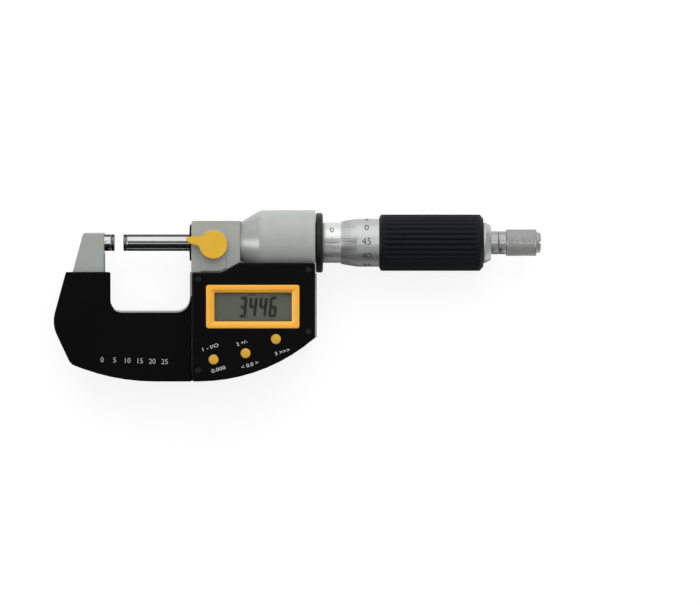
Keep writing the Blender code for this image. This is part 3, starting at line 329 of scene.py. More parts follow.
def net(rows, columns, wrap_rows=False, wrap_columns=False):
    """Four-sided faces of a grid of points: each joins (i, j), (i+1, j), (i+1, j+1) and (i, j+1)."""
    row = np.arange(rows if wrap_rows else rows - 1)[:, None]
    column = np.arange(columns if wrap_columns else columns - 1)[None, :]
    next_row = (row + 1) % rows
    next_column = (column + 1) % columns
    corners = (row * columns + column, next_row * columns + column,
               next_row * columns + next_column, row * columns + next_column)
    return np.stack(np.broadcast_arrays(*corners), axis=-1).reshape(-1, 4)


def placed(name, data):
    """New object with this data, linked to the scene."""
    made = bpy.data.objects.new(name, data)
    scene.collection.objects.link(made)
    return made


def shaded(name, mesh, finish, angle):
    """Object of a mesh with one finish, smooth except at edges sharper than `angle` degrees."""
    mesh.shade_smooth()
    mesh.set_sharp_from_angle(angle=math.radians(angle))
    mesh.materials.clear()
    mesh.materials.append(finish)
    return placed(name, mesh)


def skin(name, points, faces, finish, angle=35.0):
    """Object from points in millimetres and faces."""
    mesh = bpy.data.meshes.new(name)
    mesh.from_pydata(np.asarray(points, float).reshape(-1, 3) * MM, [], faces)
    made = bmesh.new()
    made.from_mesh(mesh)
    bmesh.ops.remove_doubles(made, verts=made.verts, dist=same_place)
    bmesh.ops.recalc_face_normals(made, faces=made.faces)
    made.to_mesh(mesh)
    made.free()
    return shaded(name, mesh, finish, angle)


def settle(piece, node=None, body=None):
    """Say which body carries a piece and which CAD node it stands for.
    A piece that stands for a node rides on that node's body."""
    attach(piece, body or frame["nodes"][node]["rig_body"])
    if node:
        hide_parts(node)
    print(piece.name, "has", len(piece.data.polygons), "faces")


print("pieces can be made and settled")

# %% [markdown]
# ## Eased corners
#
# No real corner is perfectly sharp, and the thin bright line along an eased edge makes a
# render look solid. Each corner of a profile becomes a short parabola.

# %% Round the corners of a polyline
def eased(corners, cut, steps=3, closed=False):
    """Polyline with eased corners. With t from 0 to 1, each corner becomes (1-t)^2 times a point `cut`
    before it, plus 2t(1-t) times the corner, plus t^2 times a point `cut` after it."""
    corners = np.asarray(corners, float)
    before = np.roll(corners, 1, axis=0) - corners
    after = np.roll(corners, -1, axis=0) - corners
    if not closed:
        before[0] = 0.0
        after[-1] = 0.0
    cut = np.broadcast_to(np.asarray(cut, float), len(corners))[:, None]
    long_before = np.linalg.norm(before, axis=1, keepdims=True)
    long_after = np.linalg.norm(after, axis=1, keepdims=True)
    start = corners + before * np.minimum(cut / np.maximum(long_before, 1e-9), 0.49)
    end = corners + after * np.minimum(cut / np.maximum(long_after, 1e-9), 0.49)
    t = np.linspace(0.0, 1.0, steps + 1)[None, :, None]
    bend = (1 - t) ** 2 * start[:, None] + 2 * t * (1 - t) * corners[:, None] + t ** 2 * end[:, None]
    if closed:
        return bend.reshape(-1, 2)
    return np.vstack((corners[:1], bend[1:-1].reshape(-1, 2), corners[-1:]))


print(len(eased([(0, 0), (1, 0), (1, 1)], 0.2)), "points after easing one corner")

# %% [markdown]
# ## Turned pieces
#
# Most of a micrometer comes off a lathe, so a piece is a profile carried round the
# measuring line. A wave added to the radius cuts ribs or a knurl into it, and a closed
# profile makes a tube.
#
# The simplest are four plain bars: anvil, spindle and their carbide tips. The spindle's
# tip stays 0.004 mm short, so that the two faces don't lie in one another when closed.

# %% Carry a profile round the measuring line
def whole_turn(count):
    """Angles of `count` points round a circle."""
    return np.linspace(0.0, 2.0 * math.pi, count, endpoint=False)[None, :]


def around(along, radius, turn):
    """Points (x, r sin a, r cos a) round the measuring line."""
    return np.stack(np.broadcast_arrays(along, radius * np.sin(turn), radius * np.cos(turn)), axis=-1)


def turned(name, profile, finish, count=96, closed=False, wave=None, angle=35.0):
    """Point (i, j) lies at x_i and angle a_j, as far out as the profile's radius r_i plus wave(x_i, a_j)."""
    along, radius = np.asarray(profile, float).T[:, :, None]
    turn = whole_turn(count)
    if wave:
        radius = radius + wave(along, turn)
    return skin(name, around(along, radius, turn), net(len(along), count, closed, True), finish, angle)


def tube(name, corners, cut, steps, finish, count=128):
    """Turned piece with a closed profile whose corners are eased."""
    return turned(name, eased(corners, cut, steps, True), finish, count, True)


closed_gap = 0.004
bars = (("anvil", "anvil_bar", ground_steel, "satin_steel", 0.12, 0.0),
        ("anvil_tip", "anvil_carbide", carbide, "carbide", 0.15, 0.0),
        ("spindle", "spindle_bar", ground_steel, "satin_steel", 0.12, 0.0),
        ("spindle_tip", "spindle_carbide", carbide, "carbide", 0.15, closed_gap))
for node, name, finish, slot, ease, gap in bars:
    start, end = span(node)
    start += gap
    bar_profile = eased([(start, 0.0), (start, spindle_radius), (end, spindle_radius), (end, 0.0)], ease)
    settle(turned(name, bar_profile, finish), node)

# %% [markdown]
# ## The nose and the ring behind the barrel
#
# A black ring keeps the wiper in the nose. Behind the barrel a second, larger black ring
# closes it, and the graduated sleeve comes out of that ring.

# %% Seal ring and barrel ring
seal_start, seal_end = span("seal_retainer")
seal = tube("nose_ring", [(seal_start, 3.5), (seal_start, 6.9), (seal_end, 7.15), (seal_end, 3.5)],
            [0.1, 0.35, 0.1, 0.1], 3, plastic, 96)
settle(seal, "seal_retainer")
ring_bore = sleeve_radius + 0.1
ring_radius = 11.5
ring_corners = [(ring_start, ring_bore), (ring_start, ring_radius - 0.3), (ring_start + 0.5, ring_radius),
                (ring_end - 0.45, ring_radius), (ring_end, ring_radius - 0.8), (ring_end, ring_bore)]
ring = tube("black_ring", ring_corners, [0.1, 0.15, 0.15, 0.3, 0.3, 0.1], 4, oxide)
settle(ring, "barrel_ring")

# %% [markdown]
# ## Sleeve and thimble
#
# The sleeve is a thin satin tube with the millimetre scale. The thimble runs over it
# with a long shallow bevel for its fifty divisions.

# %% Sleeve and thimble bodies
sleeve_bore = sleeve_radius - 1.1
sleeve_corners = [(sleeve_start, sleeve_bore), (sleeve_start, sleeve_radius),
                  (sleeve_end, sleeve_radius), (sleeve_end, sleeve_bore)]
settle(tube("scale_sleeve", sleeve_corners, 0.08, 2, sleeve_chrome), "sleeve")
bevel_radius = 8.15
bevel_end = thimble_start + 6.2
thimble_bore = 7.9
thimble_corners = [(thimble_start, 7.85), (thimble_start, bevel_radius), (bevel_end, thimble_radius),
                   (thimble_end, thimble_radius), (thimble_end, thimble_bore),
                   (thimble_start + 2, thimble_bore)]
thimble = tube("thimble_shell", thimble_corners, [0.02, 0.06, 0.3, 0.3, 0.1, 0.1], 3, satin_chrome, 160)
settle(thimble, "thimble")

# %% [markdown]
# ## Graduations
#
# A graduation is a groove filled with black ink. Here each mark is a thin closed plate
# bent round the axis, a few hundredths of a millimetre proud, which reads as ink.

# %% Marks bent round the axis
proud = 0.02


def marks(name, places, radius_at, finish, steps):
    """Thin plates. Each place is (x start, x end, angle start, angle end), and its points lie between
    those ends, `proud` outside and inside radius_at(x)."""
    places = np.asarray(places, float)
    u, v, w = np.meshgrid([0.0, 1.0], np.linspace(0.0, 1.0, steps), [-1.0, 1.0], indexing="ij")
    along = places[:, 0, None] + (places[:, 1] - places[:, 0])[:, None] * u.ravel()
    turn = places[:, 2, None] + (places[:, 3] - places[:, 2])[:, None] * v.ravel()
    radius = radius_at(along) + proud * w.ravel()
    at = np.arange(2 * steps * 2).reshape(2, steps, 2)
    side = np.arange(steps - 1)
    faces = [(at[i, s, k], at[i, s + 1, k], at[j, s + 1, m], at[j, s, m])
             for s in side for i, k, j, m in ((0, 0, 1, 0), (0, 1, 1, 1), (0, 0, 0, 1), (1, 0, 1, 1))]
    faces += [(at[0, e, 0], at[1, e, 0], at[1, e, 1], at[0, e, 1]) for e in (0, steps - 1)]
    faces = np.asarray(faces)[None] + np.arange(len(places))[:, None, None] * at.size
    return skin(name, around(along, radius, turn), faces.reshape(-1, 4), finish)


def sleeve_at(along):
    """Radius of the sleeve: the same all along."""
    return sleeve_radius + 0.0 * along


def bevel_at(along):
    """Radius of the thimble: it climbs evenly over the bevel and then stays."""
    share = np.clip((along - thimble_start) / (bevel_end - thimble_start), 0.0, 1.0)
    return bevel_radius + (thimble_radius - bevel_radius) * share


print("a mark is", 2 * proud, "mm thick")

# %% [markdown]
# The sleeve's zero sits where the thimble's edge is when the spindle is closed, so it is
# the thimble's place minus the reading. Millimetre lines stand on the datum line and half
# millimetres hang below it. Over the datum runs a second line, for the vernier.

# %% Lines on the sleeve
reading = span("spindle_tip")[0]
scale_zero = thimble_start - reading
line_width = 0.14
millimetres = np.arange(0, 26)
halves = millimetres[:-1] + 0.5


def sleeve_line(value, low, high):
    """Line across the sleeve at a value, from one height to another, as places for marks()."""
    middle = scale_zero + value
    return np.stack((middle - line_width / 2, middle + line_width / 2,
                     np.arcsin(low / sleeve_radius) + 0 * middle,
                     np.arcsin(high / sleeve_radius) + 0 * middle), axis=-1)


tops = np.where(millimetres % 5 == 0, 2.0, 1.4)
datum = (ring_end + 0.1, scale_zero + 25.2)
sleeve_places = np.concatenate((sleeve_line(millimetres, 0.0, tops), sleeve_line(halves, -2.7, -1.5),
                                [(*datum, -0.018, 0.002), (*datum, 0.168, 0.180)]))
settle(marks("sleeve_lines", sleeve_places, sleeve_at, black_ink, 3), body="fixed_side")

# %% [markdown]
# The thimble has fifty divisions. Every fifth is longer and numbered. The division at
# the datum line is the hundredths of the reading, so the whole ring of lines is turned by
# it, and the values grow upwards as on the real scale.

# %% Lines on the thimble bevel
shown = (reading * 100.0) % 50.0
division = np.arange(50)
division_turn = (division - shown) * 2.0 * math.pi / 50.0
half_width = 0.048 / bevel_radius
reach = np.where(division % 5 == 0, 5.4, 3.9)
ring_places = np.stack((thimble_start + 0.9 + 0 * reach, thimble_start + reach,
                        division_turn - half_width, division_turn + half_width), axis=-1)
settle(marks("thimble_lines", ring_places, bevel_at, black_ink, 2), body="spindle_set")
print("the thimble shows", round(shown, 1), "at the datum line")

# %% [markdown]
# ## Numbers
#
# Blender's own text object draws the digits. It becomes a mesh first, is sliced into low
# strips so that it can bend, and is then wrapped round the sleeve or the bevel.

# %% Text as a mesh
ink_thick = 0.05


def lettered(words, height, wide=1.0):
    """Closed thin mesh of a word, centred, as arrays of points and a list of faces."""
    drawn = bpy.data.curves.new("draft", "FONT")
    drawn.body = words
    drawn.align_x = "CENTER"
    drawn.extrude = 0.5
    drawn.resolution_u = 3
    draft = placed("draft", drawn)
    bpy.context.view_layer.update()
    mesh = bpy.data.meshes.new_from_object(draft)
    bpy.data.objects.remove(draft)
    made = bmesh.new()
    made.from_mesh(mesh)
    bmesh.ops.remove_doubles(made, verts=made.verts, dist=1e-5)
    top = max(v.co.y for v in made.verts)
    for strip in np.linspace(0.1, 0.9, 9) * top:
        parts = made.verts[:] + made.edges[:] + made.faces[:]
        bmesh.ops.bisect_plane(made, geom=parts, plane_co=(0, strip, 0), plane_no=(0, 1, 0))
    made.to_mesh(mesh)
    made.free()
    points = np.empty(len(mesh.vertices) * 3)
    mesh.vertices.foreach_get("co", points)
    points = points.reshape(-1, 3) * (height / top * wide, height / top, ink_thick)
    points[:, 1] -= height / 2
    faces = [list(face.vertices) for face in mesh.polygons]
    bpy.data.meshes.remove(mesh)
    return points, faces


def joined(parts):
    """One array of points and one list of faces from several pieces."""
    starts = np.cumsum([0] + [len(points) for points, _ in parts])
    faces = [[corner + start for corner in face] for (_, own), start in zip(parts, starts) for face in own]
    return np.concatenate([points for points, _ in parts]), faces


def wrapped(words, height, at_x, at_angle, radius_at):
    """Word round the axis: its point (x, y, z) goes to the angle y / radius_at(x), at radius_at(x) + z."""
    points, faces = lettered(words, height)
    along = points[:, 0] + at_x
    angle = at_angle + points[:, 1] / radius_at(along)
    return around(along, radius_at(along) + points[:, 2], angle), faces


def inked(name, parts, finish, body="fixed_side"):
    """One piece of ink or print from several words or shapes."""
    settle(skin(name, *joined(parts), finish), body=body)


inked("sleeve_numbers", [wrapped(str(m), 2.3, scale_zero + m, 0.68, sleeve_at) for m in range(0, 26, 5)],
      black_ink)
inked("thimble_numbers", [wrapped(str(d), 2.6, thimble_start + 9.9, division_turn[d], bevel_at)
                          for d in range(0, 50, 5)], black_ink, body="spindle_set")

# %% [markdown]
# ## Rubber grip
#
# A ribbed rubber sleeve is pushed over the thimble. One wave of the angle makes the
# ribs, and it fades out towards the plain ends.

# %% Ribbed grip
ribs = 32
rib_depth = 0.55
grip_radius = 10.83
grip_bore = 9.36


def rib_wave(along, turn):
    """Grooves: minus depth times (half of 1 - cos(ribs * a)) cubed, faded near both ends."""
    valley = (0.5 - 0.5 * np.cos(ribs * turn)) ** 3
    inside = np.minimum(along - grip_start - 1.5, grip_end - 2.0 - along) / 0.9
    fade = np.clip(inside, 0.0, 1.0)
    return -rib_depth * valley * fade * fade * (3 - 2 * fade)


ribbed = np.linspace(grip_start + 1.4, grip_end - 1.9, 60)
ribbed = np.stack((ribbed, grip_radius + 0 * ribbed), axis=-1)
grip_front = eased([(grip_start, grip_bore), (grip_start, grip_radius - 1.2),
                    (grip_start + 0.7, grip_radius), (grip_start + 1.3, grip_radius)], 0.4, 4)
grip_tail = eased([(grip_end - 1.8, grip_radius), (grip_end - 1.3, grip_radius),
                   (grip_end, grip_radius - 1.6), (grip_end, grip_bore)], 0.4, 4)
grip_profile = np.vstack((grip_front, ribbed, grip_tail))
settle(turned("rubber_grip", grip_profile, rubber, ribs * 10, True, rib_wave, 50.0),
       "thimble_grip")

# %% [markdown]
# ## Ratchet end
#
# Behind the grip follow a conical end cap, a thin neck with one groove, and a small
# knurled knob that slips when the faces touch. The knurl is two families of fine helical
# ridges. Their crossing leaves the little pyramids of a diamond knurl.

# %% End cap, neck and knob
cap_radius = 7.8
cap_seat = 7.6
cap_bore = 4.6
cap_visible = grip_end + 0.1
cap_corners = [(cap_start, cap_bore), (cap_start, cap_seat), (cap_visible, cap_seat),
               (cap_visible, cap_radius), (cap_visible + 0.7, cap_radius),
               (cap_end - 0.05, cap_radius - 1.2), (cap_end, cap_bore)]
cap = tube("end_cap", cap_corners, [0.05, 0.05, 0.02, 0.2, 0.3, 0.5, 0.05], 5, satin_chrome)
settle(cap, "thimble_end_cap")

stem_start, stem_end = span("ratchet_stem")
stem_radius = 4.1
pin_radius = 2.4
neck_radius = 4.45
neck_end = cap_end + 2.9
stem_profile = eased([(stem_start, 0.0), (stem_start, stem_radius), (cap_end - 1, stem_radius),
                      (cap_end - 0.6, neck_radius), (neck_end - 0.05, neck_radius),
                      (neck_end, pin_radius), (stem_end, pin_radius), (stem_end, 0.0)],
                     [0, 0.1, 0.1, 0.1, 0.3, 0.1, 0.2, 0], 4)
settle(turned("ratchet_neck", stem_profile, turned_steel), "ratchet_stem")

knob_radius = 5.15
knob_bore = 2.6
knurl_depth = 0.26
knurl_ridges = 32
knurl_pitch = 0.9
collar_end = knob_start + 2.9
knurl_start = collar_end + 0.35
knurl_end = knob_end - 0.45


def knurl_wave(along, turn):
    """Diamond knurl: depth times the mean of two saw-tooth families of helices, one left and one right
    handed, faded over the last 0.3 mm at both ends."""
    lead = 2.0 * math.pi * (along - knob_start) / knurl_pitch
    left = np.abs(np.mod((knurl_ridges * turn + lead) / (2 * math.pi), 1.0) * 2 - 1)
    right = np.abs(np.mod((knurl_ridges * turn - lead) / (2 * math.pi), 1.0) * 2 - 1)
    zone = np.clip((along - knurl_start) / 0.3, 0, 1) * np.clip((knurl_end - along) / 0.3, 0, 1)
    return -knurl_depth * (left + right) * 0.5 * zone


collar_corners = [(knob_start, knob_bore), (knob_start, neck_radius), (collar_end, neck_radius),
                  (collar_end, knob_bore)]
collar = tube("knob_collar", collar_corners, [0.05, 0.25, 0.02, 0.05], 3, turned_steel, 96)
settle(collar, body="ratchet")
knob_front = eased([(collar_end + 0.01, knob_bore), (collar_end + 0.01, knob_radius - 0.25),
                    (knurl_start - 0.05, knob_radius)], [0.0, 0.1, 0.0], 3)
teeth = np.linspace(knurl_start, knurl_end, 110)
teeth = np.stack((teeth, knob_radius + 0 * teeth), axis=-1)
knob_back = eased([(knurl_end + 0.05, knob_radius), (knob_end, knob_radius - 0.4), (knob_end, 4.1),
                   (knob_end - 0.8, 4.0), (knob_end - 0.8, knob_bore)], [0.0, 0.15, 0.05, 0.05, 0.05], 3)
knob_profile = np.vstack((knob_front, teeth, knob_back))
settle(turned("knurled_knob", knob_profile, knurl_shaded_steel, 288, True, knurl_wave, 60.0),
       "ratchet_knob")

# %% [markdown]
# ## Slotted tip screw
#
# A screw with a domed head closes the knob. Its slot is made by pushing points of the
# revolved grid down inside a narrow band, which keeps the head one closed surface.

# %% Tip screw with a slot
tip_screw_start, tip_screw_end = span("ratchet_screw")
head_radius = 3.95
head_start = tip_screw_end - 1.7
shank_radius = 1.4
slot_half = 0.42
slot_depth = 0.7


def dome(radius):
    """Place of the head's face: flat in the middle, and an ellipse over the last third of the radius."""
    edge = np.clip((radius / head_radius - 0.62) / 0.38, 0.0, 1.0)
    return tip_screw_end - 0.75 * (1.0 - np.sqrt(1.0 - edge ** 2))


def slotted_head(count=96, steps=26):
    """Point (i, j) lies at radius r_i and angle a_j, at dome(r_i) less the slot's depth inside the slot."""
    turn = whole_turn(count)
    radius = (np.linspace(0.0, 1.0, steps) ** 0.8 * head_radius)[:, None]
    y = radius * np.sin(turn)
    z = radius * np.cos(turn)
    slot_mask = np.clip((slot_half - np.abs(y)) / 0.08, 0.0, 1.0)
    face = np.stack((dome(radius) - slot_depth * slot_mask, y, z), axis=-1)
    rest_x, rest_r = np.array([(head_start, head_radius), (head_start, shank_radius),
                               (tip_screw_start, shank_radius), (tip_screw_start, 0.0)]).T[:, :, None]
    points = np.concatenate((face, around(rest_x, rest_r, turn)))
    return points, net(len(points), count, False, True)


settle(skin("tip_screw", *slotted_head(), knurl_shaded_steel, 40.0), "ratchet_screw")

# %% [markdown]
# ## Cast and moulded bodies
#
# The casting and the moulded covers already have the right shape in the CAD model, but
# not the small radius of a real edge. So a merged copy of each gets a narrow bevel and
# stands for the node.

# %% Copies with eased edges
def dressed(node, name, finish, width):
    """Copy of a CAD node: doubles merged, flat faces joined, and edges sharper than 28 degrees bevelled.
    The second modifier lets the large faces decide the shading, so they look flat up to the bevel."""
    mesh = frame["nodes"][node].data.copy()
    mesh.name = name
    made = bmesh.new()
    made.from_mesh(mesh)
    bmesh.ops.remove_doubles(made, verts=made.verts, dist=2e-6)
    bmesh.ops.dissolve_limit(made, angle_limit=math.radians(0.6), verts=made.verts, edges=made.edges)
    made.to_mesh(mesh)
    made.free()
    piece = shaded(name, mesh, finish, 60.0)
    ease = piece.modifiers.new("ease", "BEVEL")
    ease.width = width * MM
    ease.segments = 2
    ease.limit_method = "ANGLE"
    ease.angle_limit = math.radians(28.0)
    ease.harden_normals = True
    level = piece.modifiers.new("level", "WEIGHTED_NORMAL")
    level.weight = 100
    level.keep_sharp = True
    return piece


settle(dressed("frame", "casting", enamel, 0.22), "frame")
moulded = (("front_frame_cover", "front_bow_cover", 0.2), ("rear_frame_cover", "rear_bow_cover", 0.2),
           ("display_housing", "unit_front", 0.22), ("rear_cover", "unit_back", 0.22),
           ("battery_cap", "coin_cap", 0.12), ("data_port_cover", "port_plate", 0.12))
for node, name, width in moulded:
    settle(dressed(node, name, plastic, width), node)

# %% [markdown]
# ## Plates and frames round an outline
#
# The lever, the window and the bezel are all a flat outline with a profile carried round
# it: each point of the profile says how far in from the outline it lies, and how high.
# An open profile with a lid at both ends makes a plate, and a closed one makes a frame.

# %% A profile carried round an outline
def contours(outline_at, profile):
    """Point (i, j) = point j of outline_at(inset_i), at the height z_i."""
    edges = [(outline_at(inset), z) for inset, z in profile]
    return np.stack([np.column_stack((edge, np.full(len(edge), z))) for edge, z in edges])


def lidded(rows):
    """Points and faces of stacked outlines with a lid on the first and on the last."""
    count = rows.shape[1]
    faces = net(len(rows), count, False, True).tolist()
    faces += [list(range(count)), list(range((len(rows) - 1) * count, len(rows) * count))]
    return rows.reshape(-1, 3), faces


def rectangle(left, right, low, high, corner, steps=8):
    """Corner centres plus corner radius times (cos a, sin a), a quarter turn at each corner."""
    angle = np.linspace(0.0, 0.5 * math.pi, steps)[None, :] + np.arange(4)[:, None] * 0.5 * math.pi
    centres = np.array([(right - corner, high - corner), (left + corner, high - corner),
                        (left + corner, low + corner), (right - corner, low + corner)])[:, None, :]
    return (centres + corner * np.stack((np.cos(angle), np.sin(angle)), axis=-1)).reshape(-1, 2)


print("outlines can carry a profile")

# %% [markdown]
# ## Lock lever
#
# A yellow lever turns the lock shaft. It is a plate with a round head and a pointer with
# a blunt end, and its top edge is well rounded.

# %% Lever
hub = np.array((38.2, -0.9))
hub_radius = 5.4
pointer_top = 3.2
pointer_foot = -0.6
lever_low, lever_high = span("lock_lever", 2)


def lever_edge(steps=64):
    """The pointer's eased corners, and then the head's arc from its foot round to its top flank."""
    begin = math.pi - math.asin(pointer_top / hub_radius)
    stop = math.pi - math.asin(pointer_foot / hub_radius) - 2 * math.pi
    flank = hub_radius * np.array((math.cos(begin), math.sin(begin)))
    foot = hub_radius * np.array((math.cos(stop), math.sin(stop)))
    corners = np.vstack((flank, [(-10.35, 3.0), (-10.35, 1.5), (-8.5, 0.25)], foot))
    pointer = eased(corners, [0, 0.7, 0.4, 0.7, 0], 5)
    arc = np.linspace(stop + 2 * math.pi, begin + 2 * math.pi, steps)[1:-1]
    return hub + np.vstack((pointer, hub_radius * np.column_stack((np.cos(arc), np.sin(arc)))))


def lever_outline(inset):
    """Edge moved inwards: each point goes `inset` along the mean of the normals of its two sides."""
    edge = lever_edge()
    ahead = np.roll(edge, -1, axis=0) - edge
    ahead /= np.linalg.norm(ahead, axis=1, keepdims=True)
    mean = ahead + np.roll(ahead, 1, axis=0)
    mean /= np.linalg.norm(mean, axis=1, keepdims=True)
    return edge + inset * np.column_stack((-mean[:, 1], mean[:, 0]))


lever_profile = eased([(0.15, lever_low), (0.0, lever_low + 0.15), (0.0, lever_high), (0.45, lever_high)],
                      [0, 0.1, 0.42, 0], 5)
settle(skin("lever_plate", *lidded(contours(lever_outline, lever_profile)), yellow),
       "lock_lever")

# %% [markdown]
# ## Orange bezel
#
# The bezel is a flat frame round the display whose inner sides slope down to the window.
# Its four bars differ a little in width.

# %% Bezel
(bezel_left, bezel_low, bezel_base), (bezel_right, bezel_high, bezel_top) = box("display_bezel")


def bezel_outline(inset):
    """Outer edge drawn in by the full inset at the left, and by a share of it at the other three sides."""
    corner = max(0.95 - 0.25 * inset, 0.3)
    return rectangle(bezel_left + inset, bezel_right - 0.94 * inset, bezel_low + 0.84 * inset,
                     bezel_high - 0.91 * inset, corner)


bezel_corners = [(0.05, bezel_base), (0.0, bezel_top - 0.25), (0.35, bezel_top), (1.9, bezel_top - 0.05),
                 (3.05, bezel_base + 0.15), (3.2, bezel_base)]
bezel_profile = eased(bezel_corners, [0.05, 0.1, 0.15, 0.15, 0.05, 0.05], 3, True)
bezel_rows = contours(bezel_outline, bezel_profile)
bezel_faces = net(*bezel_rows.shape[:2], True, True)
settle(skin("bezel_ring", bezel_rows, bezel_faces, orange, 30.0), "display_bezel")

# %% [markdown]
# ## Window and liquid crystal cell
#
# The window is a clear plate set a little below the bezel. The cell behind it stays the
# CAD node with a better finish. Its digits are thin dark plates on the glass.

# %% Clear window
(pane_left, pane_low, pane_base), (pane_right, pane_high, pane_top) = box("display_window")


def pane_outline(inset):
    return rectangle(pane_left + inset, pane_right - inset, pane_low + inset, pane_high - inset, 0.5, 4)


pane_profile = [(0.1, pane_base), (0.0, pane_base + 0.1), (0.0, pane_top - 0.5), (0.1, pane_top - 0.4)]
settle(skin("clear_pane", *lidded(contours(pane_outline, pane_profile)), acrylic),
       "display_window")

# %% [markdown]
# ## Seven-segment digits
#
# Each segment is a bar with pointed ends, so neighbouring segments meet at a slant with
# a small gap. A digit is a choice of the seven bars, and the whole number leans a few
# degrees to the right.

# %% Digits of the display
digit_wide = 3.1
digit_high = 8.1
pitch = 3.84
stroke = 1.16
lean = math.tan(math.radians(5.5))
cell_top = span("lcd_glass", 2)[1]
chosen = {"3": "abcdg", "4": "bcfg", "6": "acdefg"}
ends = {"a": ((0, 2), (1, 2)), "b": ((1, 1), (1, 2)), "c": ((1, 0), (1, 1)), "d": ((0, 0), (1, 0)),
        "e": ((0, 0), (0, 1)), "f": ((0, 1), (0, 2)), "g": ((0, 1), (1, 1))}


def bar(start, end):
    """Six-cornered bar: both ends are points, and the sides lie half a stroke off the line between them."""
    along = (end - start) / np.linalg.norm(end - start)
    across = np.array((-along[1], along[0])) * stroke / 2
    tip = along * stroke * 0.35
    start = start - along * stroke * 0.12
    end = end + along * stroke * 0.12
    return np.array([start, start + tip + across, end - tip + across, end, end - tip - across,
                     start + tip - across])


def digit(figure, left, low):
    """Bars of one figure. Corner (c, r) is in column c of 2 and row r of 3 of the figure's box."""
    step = np.array((digit_wide - stroke, (digit_high - stroke) / 2))
    origin = np.array((left, low)) + stroke / 2
    return [bar(*(origin + np.array(corner) * step for corner in ends[s])) for s in chosen[figure]]


def raised(outline, low, high):
    """Closed plate of a flat outline between two heights."""
    return lidded(contours(lambda inset: outline, [(0, low), (0, high)]))


digits_left = 47.6
digits_low = -28.8
shapes = []
for place, figure in enumerate("3446"):
    shapes += digit(figure, digits_left + place * pitch, digits_low)
point_left = digits_left + (pitch + digit_wide) / 2 - 0.3
shapes.append(rectangle(point_left, point_left + 0.6, digits_low - 0.1, digits_low + 0.5, 0.1, 2))
shapes = [np.column_stack((s[:, 0] + lean * (s[:, 1] - digits_low), s[:, 1])) for s in shapes]
inked("reading_digits", [raised(s, cell_top, cell_top + 0.06) for s in shapes], segment_ink)


def flat_words(words, height, centre, z, turn=0.0, wide=1.0):
    """Word lying flat: turned in its plane by an angle and moved to its centre."""
    points, faces = lettered(words, height, wide)
    along = points[:, 0] * math.cos(turn) - points[:, 1] * math.sin(turn) + centre[0]
    up = points[:, 0] * math.sin(turn) + points[:, 1] * math.cos(turn) + centre[1]
    return np.column_stack((along, up, points[:, 2] + z)), faces


inked("display_signs", [flat_words("mm", 1.0, (66.7, -20.1), cell_top + 0.03, wide=1.1),
                        flat_words("000", 1.0, (53.2, -20.0), cell_top + 0.03, wide=1.1)], segment_ink)

# %% [markdown]
# ## Round buttons
#
# Each button is a short domed stud of amber plastic, turned on an upright line, with a
# skirt below the cover that keeps it in.

# %% Buttons
def upright(name, profile, node, finish, count=64, angle=35.0, lift=None):
    """Profile of (height, radius) points carried round an upright line through the middle of a CAD node:
    (cx + r cos a, cy + r sin a, z), where z is the height plus lift(r cos a, r sin a)."""
    height, radius = np.asarray(profile, float).T
    turn = whole_turn(count)
    x = radius[:, None] * np.cos(turn)
    y = radius[:, None] * np.sin(turn)
    z = height[:, None] + (lift(x, y) if lift else 0.0 * x)
    middle = sum(box(node)) / 2
    points = np.stack((x + middle[0], y + middle[1], z), axis=-1)
    return skin(name, points, net(len(height), count, False, True), finish, angle)


stud = 1.9
crown = np.linspace(0.0, 0.5 * math.pi, 9)
for node in ("power_button", "origin_button", "data_button"):
    low, high = box(node)
    skirt = (high[0] - low[0]) / 2
    skirt_top = low[2] + 0.8
    stud_profile = [(low[2], 0.0), (low[2], skirt), (skirt_top, skirt), (skirt_top, stud)]
    stud_profile += [(high[2] - 0.55 + 0.4 * math.sin(a), stud - 0.45 + 0.45 * math.cos(a)) for a in crown]
    stud_profile += [(high[2] - 0.05, (stud - 0.45) * 0.6), (high[2], 0.0)]
    settle(upright(node.replace("button", "stud"), stud_profile, node, amber), node)

# %% [markdown]
# ## Small screws
#
# The covers are held by small dark screws with a cross recess. The recess is pushed into
# the head's polar grid: a point goes down where it lies inside one of two narrow bars.

# %% Cross-recessed screws
cross_half = 0.16
cross_depth = 0.35


def cross(sign, reach):
    """Height to add for the recess: both bars are 0.32 mm wide, end at `reach` and slope in over 0.1 mm."""
    def lift(x, y):
        near = np.minimum(np.maximum(np.abs(x) - cross_half, np.abs(y) - reach),
                          np.maximum(np.abs(y) - cross_half, np.abs(x) - reach))
        return -sign * cross_depth * np.clip(-near / 0.1, 0.0, 1.0)
    return lift


def small_screw(node, sign):
    """Head and shank between the ends of the CAD screw. sign is 1 where the head faces the front."""
    low, high = box(node)
    radius = (high[0] - low[0]) / 2
    head, foot = (high[2], low[2]) if sign > 0 else (low[2], high[2])
    under = head - sign * 0.8
    profile = [(head, r) for r in np.linspace(0.0, radius - 0.12, 22)]
    profile += [(head - sign * 0.05, radius - 0.03), (head - sign * 0.15, radius), (under, radius),
                (under, radius * 0.5), (foot, radius * 0.5), (foot, 0.0)]
    piece = upright(node + "_head", profile, node, oxide, 48, 40.0, cross(sign, radius * 0.6))
    settle(piece, node)


for index in range(1, 5):
    small_screw(f"housing_screw_{index}", 1)
    small_screw(f"rear_screw_{index}", -1)
for index in (1, 2):
    small_screw(f"data_port_screw_{index}", -1)

# %% [markdown]
# ## Plain printed signs
#
# The buttons carry plain numbers and signs beside them, tilted like the buttons' row, and
# the bow carries a row of plain numbers.

